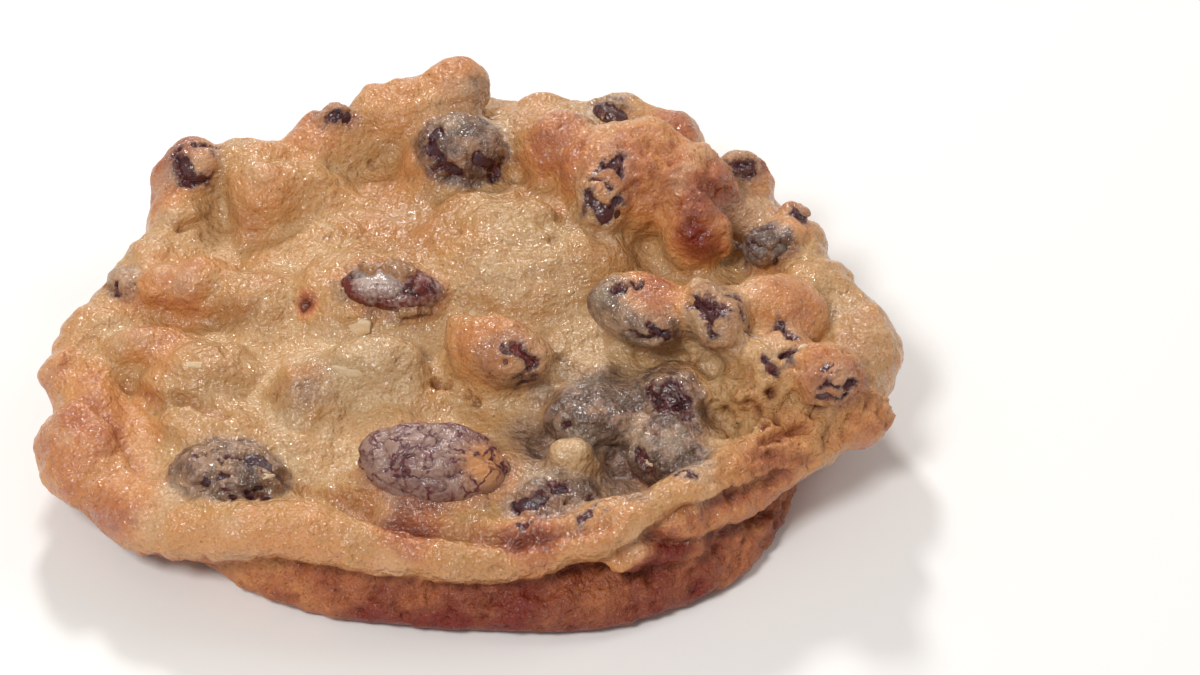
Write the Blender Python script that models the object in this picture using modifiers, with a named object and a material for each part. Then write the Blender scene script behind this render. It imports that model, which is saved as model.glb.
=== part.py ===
"""A thick, lumpy oatmeal raisin cookie, baked flat side down, with its raisins set in the dough.

The frame is in metres, +Z up. The origin is at the middle of the flat base, +X is the cookie's
long side and -Y its front, where the rolled lip hangs over the browned base.
The sizes below are in millimetres, and MM turns them to metres.
"""

import math
from collections import namedtuple

import bmesh
import bpy
from mathutils import Matrix, Vector, noise
from mathutils.bvhtree import BVHTree

MM = 0.001

# The dome of dough, which leans up towards the back
DOME_FOOT = 2.0
DOME_TOP = 11.4
DOME_BLUNTNESS = 0.62
DOME_LEAN = 0.09

# The browned base under the lip
BASE_FOOT = -2.0
BASE_TOP = 5.8
BASE_BLUNTNESS = 0.3

# The rim: direction in degrees, reach from the middle to the lip's outside, height of the lip's middle,
# half its thickness, and reach of the browned base under it
RimPoint = namedtuple("RimPoint", "turn reach height roll base")
RIM = (
    RimPoint(0, 38.8, 9.8, 3.6, 33.0),
    RimPoint(18, 35.0, 10.0, 3.6, 32.0),
    RimPoint(38, 33.6, 10.0, 3.8, 31.0),
    RimPoint(58, 34.2, 10.0, 4.0, 31.6),
    RimPoint(78, 34.6, 8.6, 4.0, 31.5),
    RimPoint(96, 34.6, 8.4, 3.8, 31.0),
    RimPoint(115, 33.6, 9.0, 3.8, 30.6),
    RimPoint(132, 34.8, 8.2, 3.8, 31.4),
    RimPoint(148, 37.8, 9.2, 4.0, 33.0),
    RimPoint(162, 35.8, 9.0, 3.8, 32.5),
    RimPoint(176, 38.2, 8.4, 3.6, 34.0),
    RimPoint(190, 41.6, 7.9, 3.4, 35.0),
    RimPoint(203, 41.8, 6.8, 3.6, 36.0),
    RimPoint(214, 43.0, 5.8, 3.8, 36.6),
    RimPoint(227, 39.9, 6.8, 3.4, 36.0),
    RimPoint(240, 35.7, 8.6, 2.9, 35.8),
    RimPoint(255, 33.9, 8.2, 2.9, 34.6),
    RimPoint(272, 33.2, 7.8, 2.9, 34.4),
    RimPoint(286, 33.8, 8.5, 2.7, 36.0),
    RimPoint(299, 34.6, 9.8, 2.3, 37.2),
    RimPoint(310, 35.2, 11.2, 2.1, 38.0),
    RimPoint(322, 36.8, 10.8, 2.6, 37.4),
    RimPoint(332, 39.4, 10.0, 3.4, 35.6),
    RimPoint(342, 40.9, 9.6, 3.6, 33.6),
    RimPoint(352, 41.4, 9.8, 3.6, 33.0),
)
LIP_STEPS = 90

# The second, smaller fold under the lip at the right of the front, which thins towards its ends
LEDGE_FROM = 292
LEDGE_TO = 332
LEDGE_STEPS = 14
LEDGE_HEIGHT = 7.0
LEDGE_ROUND = 2.0
LEDGE_END = 0.4

# Lumps of dough: middle, half sizes along the turned x, y and up, and the turn in degrees
Lump = namedtuple("Lump", "x y z wide deep high turn")
LUMPS = {
    "crown_left": Lump(8.8, 17.8, 15.4, 4.8, 4.0, 5.2, 0),
    "crown": Lump(15.0, 12.8, 16.0, 7.0, 5.8, 6.0, -25),
    "crown_right": Lump(21.4, 11.2, 15.6, 4.8, 5.0, 5.4, -30),
    "crown_foot": Lump(22.0, 6.0, 14.8, 3.8, 3.4, 4.0, 0),
    "crown_crag": Lump(18.0, 15.4, 19.4, 3.4, 1.9, 2.0, -20),
    "ridge_left": Lump(16.8, -5.2, 14.6, 5.4, 3.4, 4.4, -30),
    "ridge_middle": Lump(22.8, -6.8, 14.8, 4.6, 3.3, 4.2, -10),
    "ridge_right": Lump(29.4, -5.2, 13.8, 4.6, 3.8, 4.6, 10),
    "corner_inner": Lump(28.2, -13.4, 11.8, 5.0, 4.6, 4.8, 0),
    "corner_peak": Lump(33.8, -13.8, 12.4, 4.4, 4.0, 4.8, 0),
    "corner_foot": Lump(30.8, -17.4, 9.6, 6.0, 3.2, 3.0, 8),
    "corner_edge": Lump(35.9, -15.0, 9.6, 3.6, 3.3, 3.2, 30),
    "right_rim": Lump(38.2, -5.4, 9.8, 3.6, 5.4, 4.4, 8),
    "right_shoulder": Lump(33.8, 0.8, 10.6, 4.2, 4.0, 4.4, 0),
    "right_back": Lump(31.2, 7.0, 11.2, 3.8, 4.2, 4.6, 0),
    "right_knob": Lump(26.8, 16.2, 13.0, 3.9, 3.2, 3.8, 0),
    "right_saddle": Lump(26.8, 11.6, 11.2, 4.2, 3.8, 3.8, 0),
    "back_peak": Lump(-2.6, 28.6, 15.7, 4.1, 3.6, 4.0, 0),
    "back_slope": Lump(-8.6, 25.8, 14.6, 5.8, 4.2, 4.0, 18),
    "back_saddle": Lump(-15.4, 22.4, 12.9, 5.4, 3.8, 3.9, 16),
    "back_bench": Lump(7.8, 23.6, 13.6, 6.4, 4.4, 4.0, 0),
    "back_bench_right": Lump(14.8, 23.6, 14.4, 4.4, 4.0, 4.0, 0),
    "back_lobe": Lump(19.6, 22.2, 12.6, 4.0, 4.6, 4.4, -30),
    "left_corner": Lump(-29.6, 17.8, 12.0, 4.2, 4.0, 4.6, 0),
    "left_corner_foot": Lump(-30.0, 13.0, 9.6, 3.8, 4.2, 4.4, 0),
    "left_corner_neck": Lump(-24.2, 19.0, 12.6, 4.6, 3.5, 4.0, 0),
    "left_knuckle": Lump(-21.6, 13.6, 12.4, 3.9, 3.2, 4.0, 20),
    "left_knuckle_tail": Lump(-17.4, 15.4, 11.8, 4.4, 3.2, 3.8, 20),
    "left_bank": Lump(-28.2, 1.8, 10.2, 5.8, 3.2, 3.8, 10),
    "left_bank_inner": Lump(-21.2, 0.4, 10.4, 5.0, 3.6, 3.6, 0),
    "left_brow": Lump(-30.8, -5.9, 9.6, 5.0, 2.8, 3.4, 0),
    "left_pillow": Lump(-25.4, -9.8, 9.6, 6.0, 4.2, 4.0, 0),
    "left_ear": Lump(-39.6, -8.4, 9.4, 2.0, 1.8, 2.0, 0),
    "left_flank": Lump(-36.0, -17.8, 7.4, 4.6, 6.4, 4.0, 10),
    "front_left_bank": Lump(-23.2, -16.2, 8.2, 6.6, 3.6, 3.4, -10),
    "raisin_hump": Lump(-15.4, -13.0, 10.2, 4.0, 3.4, 3.6, 0),
    "middle_bench": Lump(-8.8, -10.4, 10.6, 5.6, 3.0, 3.6, 0),
    "middle_peak": Lump(2.6, -9.8, 12.4, 5.4, 3.6, 4.0, -22),
    "middle_tip": Lump(-0.6, -7.2, 14.6, 1.9, 1.6, 1.8, 0),
    "middle_slope": Lump(4.6, 6.6, 11.4, 11.5, 9.0, 4.8, -10),
    "grey_hollow": Lump(12.4, -15.6, 9.8, 5.6, 4.2, 3.6, -10),
    "grey_hollow_right": Lump(19.4, -18.6, 9.6, 5.0, 3.8, 3.6, -18),
    "front_knob": Lump(10.2, -22.0, 11.0, 2.5, 2.1, 2.6, 0),
    "middle_left": Lump(-10.0, 1.0, 10.6, 9.0, 7.0, 4.0, 0),
    "raisin_collar": Lump(-2.0, 20.6, 12.4, 6.4, 6.0, 4.6, 0),
    "ridge_foot": Lump(20.0, -13.2, 10.4, 4.6, 3.6, 4.0, -20),
    "front_left_shelf": Lump(-22.0, -22.6, 7.0, 7.5, 5.0, 3.6, -8),
    "front_bed": Lump(-0.6, -23.6, 7.8, 13.0, 5.0, 3.8, 2),
}

# Raisins: middle, how far its top stands out of the dough, half sizes along the turned x, y and up,
# the turn, and how far its +x end tips down, in degrees
Raisin = namedtuple("Raisin", "x y proud long wide high turn tip")
RAISINS = {
    "raisin_bare": Raisin(-7.8, -1.2, 2.0, 5.2, 3.2, 2.7, -6, 2),
    "raisin_big": Raisin(-2.8, -22.6, 4.2, 7.2, 4.9, 4.2, -8, 3),
    "raisin_front_left": Raisin(-21.8, -22.6, 1.4, 5.1, 3.2, 2.5, -8, 2),
    "raisin_middle": Raisin(4.6, -12.0, 1.2, 3.2, 2.0, 2.1, 12, 6),
    "raisin_crown": Raisin(13.2, 9.2, 1.1, 4.7, 2.6, 2.5, -103, 26),
    "raisin_back": Raisin(-1.8, 19.0, 2.1, 4.2, 4.1, 3.1, -20, 2),
    "raisin_ridge_left": Raisin(15.6, -7.2, 1.0, 4.6, 2.7, 2.6, -36, 4),
    "raisin_ridge_middle": Raisin(23.4, -8.8, 1.2, 3.9, 2.4, 2.6, -64, 6),
    "raisin_ridge_right": Raisin(29.8, -11.2, 1.0, 3.3, 2.7, 2.3, -14, 2),
    "raisin_ridge_foot": Raisin(19.2, -15.0, 1.2, 2.9, 2.2, 2.2, -38, 4),
    "raisin_corner": Raisin(34.2, -16.2, 0.9, 3.0, 1.9, 2.0, 12, 0),
    "raisin_front": Raisin(8.4, -25.8, 1.8, 4.4, 2.6, 2.5, 12, 0),
    "raisin_pale": Raisin(29.0, 5.4, 1.5, 2.5, 2.0, 2.0, 15, 0),
    "raisin_button": Raisin(32.0, 9.9, 1.2, 1.6, 1.5, 1.6, -40, 0),
    "raisin_knob": Raisin(26.7, 15.6, 0.9, 2.1, 1.7, 1.7, 0, 0),
    "raisin_bench": Raisin(13.6, 22.4, 0.8, 2.2, 1.7, 1.7, -45, 0),
    "raisin_left_corner": Raisin(-28.9, 17.0, 0.9, 2.6, 2.3, 2.1, -55, 0),
    "raisin_notch": Raisin(-14.7, 23.0, 1.0, 1.7, 1.4, 1.6, 10, 0),
    "raisin_left_bank": Raisin(-34.6, 2.4, 0.9, 1.7, 1.4, 1.6, -60, 0),
    "raisin_hollow": Raisin(11.4, -17.2, 1.0, 3.9, 2.5, 2.4, -12, 0),
    "raisin_hollow_right": Raisin(18.8, -21.4, 1.0, 3.7, 2.2, 2.2, -8, 0),
}
RAISIN_AROUND = 12
RAISIN_RINGS = 8
RAISIN_FOLDS = 4
RAISIN_FOLD_DEPTH = 0.07
RAISIN_GAP = 0.3
CLEAR_ABOVE = 40.0

# How the lumps are fused and roughened. Low down, the lip and the base have baked smoother.
FUSE_VOXEL = 0.7
FUSE_SMOOTHING = 2
SWELL_SIZE = 6.0
SWELL_DEPTH = 0.85
SWELL_SINK = 0.4
CALM_BELOW = 9.5
CALM_SHARE = 0.35
CRAG_SIZE = 2.6
CRAG_DEPTH = 0.3
CRAG_SMOOTHING = 3
DOUGH_FACES = 6700

LUMP_AROUND = 20
LUMP_RINGS = 14
SLAB_AROUND = 96
SLAB_RINGS = 24


def clear_scene():
    for obj in list(bpy.data.objects):
        bpy.data.objects.remove(obj)


def collection_named(name):
    made = bpy.data.collections.new(name)
    bpy.context.scene.collection.children.link(made)
    return made


def material_named(name, red, green, blue, roughness):
    made = bpy.data.materials.new(name)
    made.use_nodes = True
    shader = made.node_tree.nodes["Principled BSDF"]
    shader.inputs["Base Color"].default_value = (red, green, blue, 1.0)
    shader.inputs["Roughness"].default_value = roughness
    shader.inputs["Metallic"].default_value = 0.0
    return made


def rim_at(turn):
    """The rim in that direction, on a smooth closed curve through RIM."""
    turn %= 360.0
    count = len(RIM)
    index = max(i for i in range(count) if RIM[i].turn <= turn)
    before, start, end, after = (RIM[(index + step) % count] for step in (-1, 0, 1, 2))
    span = (end.turn - start.turn) % 360.0
    t = (turn - start.turn) / span

    def blend(a, b, c, d):
        return 0.5 * (2 * b + (c - a) * t + (2 * a - 5 * b + 4 * c - d) * t**2 + (3 * b - a - 3 * c + d) * t**3)

    return RimPoint(turn, *(blend(*four) for four in zip(before[1:], start[1:], end[1:], after[1:])))


def add_slab(bm, reach_at, foot, top, bluntness, lean):
    """A blunt-edged round of dough from foot to top, as wide in each direction as reach_at gives."""
    made = bmesh.ops.create_uvsphere(bm, u_segments=SLAB_AROUND, v_segments=SLAB_RINGS, radius=1.0)
    middle = (top + foot) / 2
    half = (top - foot) / 2
    for vert in made["verts"]:
        out = math.hypot(vert.co.x, vert.co.y)
        turn = math.atan2(vert.co.y, vert.co.x)
        spread = reach_at(math.degrees(turn)) * out**bluntness if out > 0 else 0.0
        x = spread * math.cos(turn)
        y = spread * math.sin(turn)
        rise = max(0.0, vert.co.z) * lean * y
        vert.co = Vector((x, y, middle + half * vert.co.z + rise)) * MM


def dome_reach(turn):
    rim = rim_at(turn)
    return rim.reach - rim.roll


def base_reach(turn):
    return rim_at(turn).base


def add_lump(bm, lump):
    place = Matrix.Translation(Vector((lump.x, lump.y, lump.z)) * MM)
    turn = Matrix.Rotation(math.radians(lump.turn), 4, "Z")
    size = Matrix.Diagonal((lump.wide * MM, lump.deep * MM, lump.high * MM, 1.0))
    bmesh.ops.create_uvsphere(
        bm, u_segments=LUMP_AROUND, v_segments=LUMP_RINGS, radius=1.0, matrix=place @ turn @ size
    )


def roll_of_dough(name, points, closed):
    """A rounded roll through the points, each of which holds x, y, z and half the thickness there."""
    curve = bpy.data.curves.new(name, "CURVE")
    curve.dimensions = "3D"
    curve.bevel_depth = MM
    curve.bevel_resolution = 4
    curve.use_fill_caps = True
    spline = curve.splines.new("POLY")
    spline.points.add(len(points) - 1)
    for point, (x, y, z, thickness) in zip(spline.points, points):
        point.co = (x * MM, y * MM, z * MM, 1.0)
        point.radius = thickness
    spline.use_cyclic_u = closed
    return curve


def add_curve(bm, curve):
    """Adds a curve's rounded surface to the lumps, and removes the curve."""
    holder = bpy.data.objects.new(curve.name, curve)
    bpy.context.scene.collection.objects.link(holder)
    bpy.context.view_layer.update()
    graph = bpy.context.evaluated_depsgraph_get()
    mesh = bpy.data.meshes.new_from_object(holder.evaluated_get(graph))
    part = bmesh.new()
    part.from_mesh(mesh)
    bmesh.ops.remove_doubles(part, verts=part.verts, dist=0.01 * MM)
    part.to_mesh(mesh)
    part.free()
    bm.from_mesh(mesh)
    bpy.data.objects.remove(holder)
    bpy.data.meshes.remove(mesh)


def lip_points():
    points = []
    for step in range(LIP_STEPS):
        rim = rim_at(360.0 * step / LIP_STEPS)
        turn = math.radians(rim.turn)
        out = rim.reach - rim.roll
        points.append((out * math.cos(turn), out * math.sin(turn), rim.height, rim.roll))
    return points


def ledge_points():
    points = []
    for step in range(LEDGE_STEPS + 1):
        along = step / LEDGE_STEPS
        rim = rim_at(LEDGE_FROM + (LEDGE_TO - LEDGE_FROM) * along)
        turn = math.radians(rim.turn)
        half = LEDGE_ROUND * (LEDGE_END + (1.0 - LEDGE_END) * math.sin(math.pi * along))
        out = (rim.reach + rim.base) / 2 - half
        points.append((out * math.cos(turn), out * math.sin(turn), LEDGE_HEIGHT, half))
    return points


def applied(obj):
    """Replaces the object's mesh with what its modifiers make of it."""
    bpy.context.view_layer.update()
    graph = bpy.context.evaluated_depsgraph_get()
    mesh = bpy.data.meshes.new_from_object(obj.evaluated_get(graph))
    obj.modifiers.clear()
    obj.data = mesh


def fused(obj):
    """Fuses the lumps into one skin, softens the joins, and swells it unevenly as baking does."""
    remesh = obj.modifiers.new("fuse", "REMESH")
    remesh.mode = "VOXEL"
    remesh.voxel_size = FUSE_VOXEL * MM
    soften = obj.modifiers.new("soften", "SMOOTH")
    soften.factor = 0.5
    soften.iterations = FUSE_SMOOTHING
    applied(obj)


def roughness_at(place):
    """How far the crust stands out at a place, in metres: rounded swells with sharp creases between, and crags."""
    swell = abs(noise.noise(place / (SWELL_SIZE * MM))) * 2.0 * SWELL_DEPTH
    crag = noise.fractal(place / (CRAG_SIZE * MM), 0.8, 2.0, 3) * CRAG_DEPTH
    share = min(1.0, max(CALM_SHARE, place.z / (CALM_BELOW * MM)))
    return (swell - SWELL_SINK + crag) * share * MM


def roughen(bm):
    bm.normal_update()
    moves = [vert.normal * roughness_at(vert.co) for vert in bm.verts]
    for vert, move in zip(bm.verts, moves):
        vert.co += move


def keep_outer_skin(bm):
    """Drops any closed hollow that fusing the lumps has left inside."""
    left = set(bm.verts)
    skins = []
    while left:
        grown = {left.pop()}
        edge = list(grown)
        while edge:
            vert = edge.pop()
            for link in vert.link_edges:
                other = link.other_vert(vert)
                if other in left:
                    left.discard(other)
                    grown.add(other)
                    edge.append(other)
        skins.append(grown)
    outer = max(skins, key=len)
    inner = [vert for skin in skins if skin is not outer for vert in skin]
    bmesh.ops.delete(bm, geom=inner, context="VERTS")


def cut_flat_base(bm):
    """Cuts the skin at z = 0 and closes it with the flat face that the cookie rests on."""
    geom = list(bm.verts) + list(bm.edges) + list(bm.faces)
    bmesh.ops.bisect_plane(bm, geom=geom, dist=0.01 * MM, plane_co=(0, 0, 0), plane_no=(0, 0, 1), clear_inner=True)
    for vert in bm.verts:
        vert.co.z = max(vert.co.z, 0.0)
    rim = [edge for edge in bm.edges if edge.is_boundary]
    bmesh.ops.holes_fill(bm, edges=rim, sides=0)
    bmesh.ops.recalc_face_normals(bm, faces=bm.faces)


def reduced(obj, faces):
    """Rounds the crags off and brings the skin down to about that many triangles."""
    soften = obj.modifiers.new("soften", "SMOOTH")
    soften.factor = 0.5
    soften.iterations = CRAG_SMOOTHING
    thin = obj.modifiers.new("thin", "DECIMATE")
    thin.ratio = faces / (2.0 * len(obj.data.polygons))
    applied(obj)


def make_dough(parts):
    bm = bmesh.new()
    add_slab(bm, base_reach, BASE_FOOT, BASE_TOP, BASE_BLUNTNESS, 0.0)
    add_slab(bm, dome_reach, DOME_FOOT, DOME_TOP, DOME_BLUNTNESS, DOME_LEAN)
    for lump in LUMPS.values():
        add_lump(bm, lump)
    add_curve(bm, roll_of_dough("lip", lip_points(), True))
    add_curve(bm, roll_of_dough("ledge", ledge_points(), False))
    mesh = bpy.data.meshes.new("dough")
    bm.to_mesh(mesh)
    bm.free()
    dough = bpy.data.objects.new("dough", mesh)
    parts.objects.link(dough)
    fused(dough)

    bm = bmesh.new()
    bm.from_mesh(dough.data)
    keep_outer_skin(bm)
    roughen(bm)
    bm.to_mesh(dough.data)
    bm.free()
    reduced(dough, DOUGH_FACES)

    bm = bmesh.new()
    bm.from_mesh(dough.data)
    cut_flat_base(bm)
    bm.to_mesh(dough.data)
    bm.free()
    dough.data.shade_smooth()
    dough.data.materials.append(material_named("baked dough", 0.62, 0.40, 0.19, 0.5))
    return dough


def raisin_mesh(name, raisin, growth, folds_seed):
    """A plump raisin with a few folds along it, each half size grown by growth."""
    bm = bmesh.new()
    bmesh.ops.create_uvsphere(bm, u_segments=RAISIN_AROUND, v_segments=RAISIN_RINGS, radius=1.0)
    lie_down = Matrix.Rotation(math.radians(90), 4, "Y")
    bmesh.ops.transform(bm, matrix=lie_down, verts=bm.verts)
    size = Vector((raisin.long, raisin.wide, raisin.high))
    for vert in bm.verts:
        around = math.atan2(vert.co.z, vert.co.y)
        fold = math.cos(RAISIN_FOLDS * around + folds_seed + 1.5 * vert.co.x)
        shrink = 1.0 - RAISIN_FOLD_DEPTH * (1.0 + fold)
        vert.co = Vector((vert.co.x * size.x, vert.co.y * size.y * shrink, vert.co.z * size.z * shrink)) * MM
    bm.normal_update()
    outward = [vert.normal.copy() for vert in bm.verts]
    for vert, normal in zip(bm.verts, outward):
        vert.co += normal * growth * MM
    mesh = bpy.data.meshes.new(name)
    bm.to_mesh(mesh)
    bm.free()
    return mesh


def crust_height(crust, x, y):
    """Height of the dough's upper face above that place, in millimetres."""
    hit = crust.ray_cast(Vector((x, y, CLEAR_ABOVE)) * MM, Vector((0, 0, -1)))
    return hit[0].z / MM


def place_raisin(obj, raisin, top):
    obj.location = Vector((raisin.x, raisin.y, top - raisin.high)) * MM
    obj.rotation_euler = (0.0, math.radians(raisin.tip), math.radians(raisin.turn))


def make_raisins(parts, cutters, dough):
    """Raisins that break the surface of the dough, and a slightly larger pocket for each."""
    bm = bmesh.new()
    bm.from_mesh(dough.data)
    crust = BVHTree.FromBMesh(bm)
    bm.free()
    skin = material_named("raisin skin", 0.07, 0.025, 0.03, 0.4)
    for number, (name, raisin) in enumerate(RAISINS.items()):
        top = crust_height(crust, raisin.x, raisin.y) + raisin.proud
        made = bpy.data.objects.new(name, raisin_mesh(name, raisin, 0.0, number))
        made.data.materials.append(skin)
        made.data.shade_smooth()
        place_raisin(made, raisin, top)
        parts.objects.link(made)
        pocket = bpy.data.objects.new(name + "_pocket", raisin_mesh(name, raisin, RAISIN_GAP, number))
        place_raisin(pocket, raisin, top)
        pocket.hide_render = True
        pocket.display_type = "WIRE"
        cutters.objects.link(pocket)


def cut_pockets(dough, cutters):
    """Leaves a pocket in the dough for each raisin, and clears the slivers along the cuts."""
    cut = dough.modifiers.new("raisin pockets", "BOOLEAN")
    cut.operation = "DIFFERENCE"
    cut.operand_type = "COLLECTION"
    cut.collection = cutters
    cut.solver = "MANIFOLD"
    applied(dough)
    bm = bmesh.new()
    bm.from_mesh(dough.data)
    keep_outer_skin(bm)
    bm.to_mesh(dough.data)
    bm.free()


def main():
    clear_scene()
    parts = collection_named("oatmeal raisin cookie")
    cutters = collection_named("raisin pockets")
    dough = make_dough(parts)
    make_raisins(parts, cutters, dough)
    cut_pockets(dough, cutters)


main()
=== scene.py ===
"""A thick oatmeal raisin cookie.

Golden, lumpy dough with browned peaks and a rolled lip over a red-brown base, raisins under a thin film of
dough, and pale oat flakes.
"""
import math
import random
from collections import namedtuple
from functools import partial

import bmesh
import bpy
import numpy as np
from mathutils import Matrix, Vector, kdtree, noise
from mathutils.bvhtree import BVHTree


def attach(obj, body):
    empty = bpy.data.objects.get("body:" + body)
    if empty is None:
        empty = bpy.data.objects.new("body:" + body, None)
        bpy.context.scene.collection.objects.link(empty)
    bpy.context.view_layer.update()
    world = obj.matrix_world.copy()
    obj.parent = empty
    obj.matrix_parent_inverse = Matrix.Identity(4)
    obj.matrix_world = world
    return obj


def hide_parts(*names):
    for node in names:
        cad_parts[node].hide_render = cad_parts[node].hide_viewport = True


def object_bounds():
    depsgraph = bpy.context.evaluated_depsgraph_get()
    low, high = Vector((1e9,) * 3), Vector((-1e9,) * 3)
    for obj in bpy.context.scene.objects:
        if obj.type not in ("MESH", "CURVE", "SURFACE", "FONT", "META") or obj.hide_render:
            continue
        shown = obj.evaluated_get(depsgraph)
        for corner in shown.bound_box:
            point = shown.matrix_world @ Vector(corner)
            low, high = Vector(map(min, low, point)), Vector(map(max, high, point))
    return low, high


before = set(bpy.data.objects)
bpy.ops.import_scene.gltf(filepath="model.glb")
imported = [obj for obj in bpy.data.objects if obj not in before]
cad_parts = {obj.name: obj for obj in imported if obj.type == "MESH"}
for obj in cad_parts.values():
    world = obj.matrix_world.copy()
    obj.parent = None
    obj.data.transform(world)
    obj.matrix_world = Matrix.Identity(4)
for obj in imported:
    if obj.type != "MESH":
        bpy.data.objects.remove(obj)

bl_info = {
    "name": "Oatmeal Raisin Cookie",
    "version": (1, 0, 0),
    "blender": (4, 5, 0),
    "location": "View3D > Sidebar > Cookie",
    "description": "Bakes an oatmeal raisin cookie: crust, raisins and oat flakes",
    "category": "Add Mesh",
}

MM = 0.001
CAD_LOW, CAD_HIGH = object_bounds()

# The line of sight that the patches below were placed along: level with +Y, and 42 degrees down
SIGHT_DOWN = math.radians(42)
SIGHT = Vector((0.0, math.cos(SIGHT_DOWN), -math.sin(SIGHT_DOWN)))

# How far out of the solids' box the crust may reach, how high its underside is taken to be flat, and how far
# the table top lies under it
BOX_ROOM = 0.4 * MM
UNDERSIDE = 0.02 * MM
TABLE_GAP = 0.02 * MM

# Half the thickness of a bare oat flake, and how deep its middle lies under the crust's skin
FLAKE_THICKNESS = 0.24 * MM
FLAKE_SUNK = 0.16 * MM

# How far back a line of sight starts, how often the crust is relaxed to find its bulges, and the half length
# above which a raisin gets a finer mesh
SIGHT_START = 60 * MM
BULGE_ROUNDS = 140
LONG_RAISIN = 5.5 * MM

# Seeds of the random draws
SOFT_FLAKE_SEED = 7
STEAM_HOLE_SEED = 21
BARE_FLAKE_SEED = 11

# What the camera looks at, and each lamp's place and width in metres
LOOK_AT = Vector((12.5, -4.0, 10.0)) * MM
LAMPS = {
    "key": ((-0.13, -0.22, 0.35), 0.1),
    "back": ((-0.06, 0.33, 0.31), 0.06),
    "side": ((0.30, 0.10, 0.30), 0.16),
}

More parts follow.
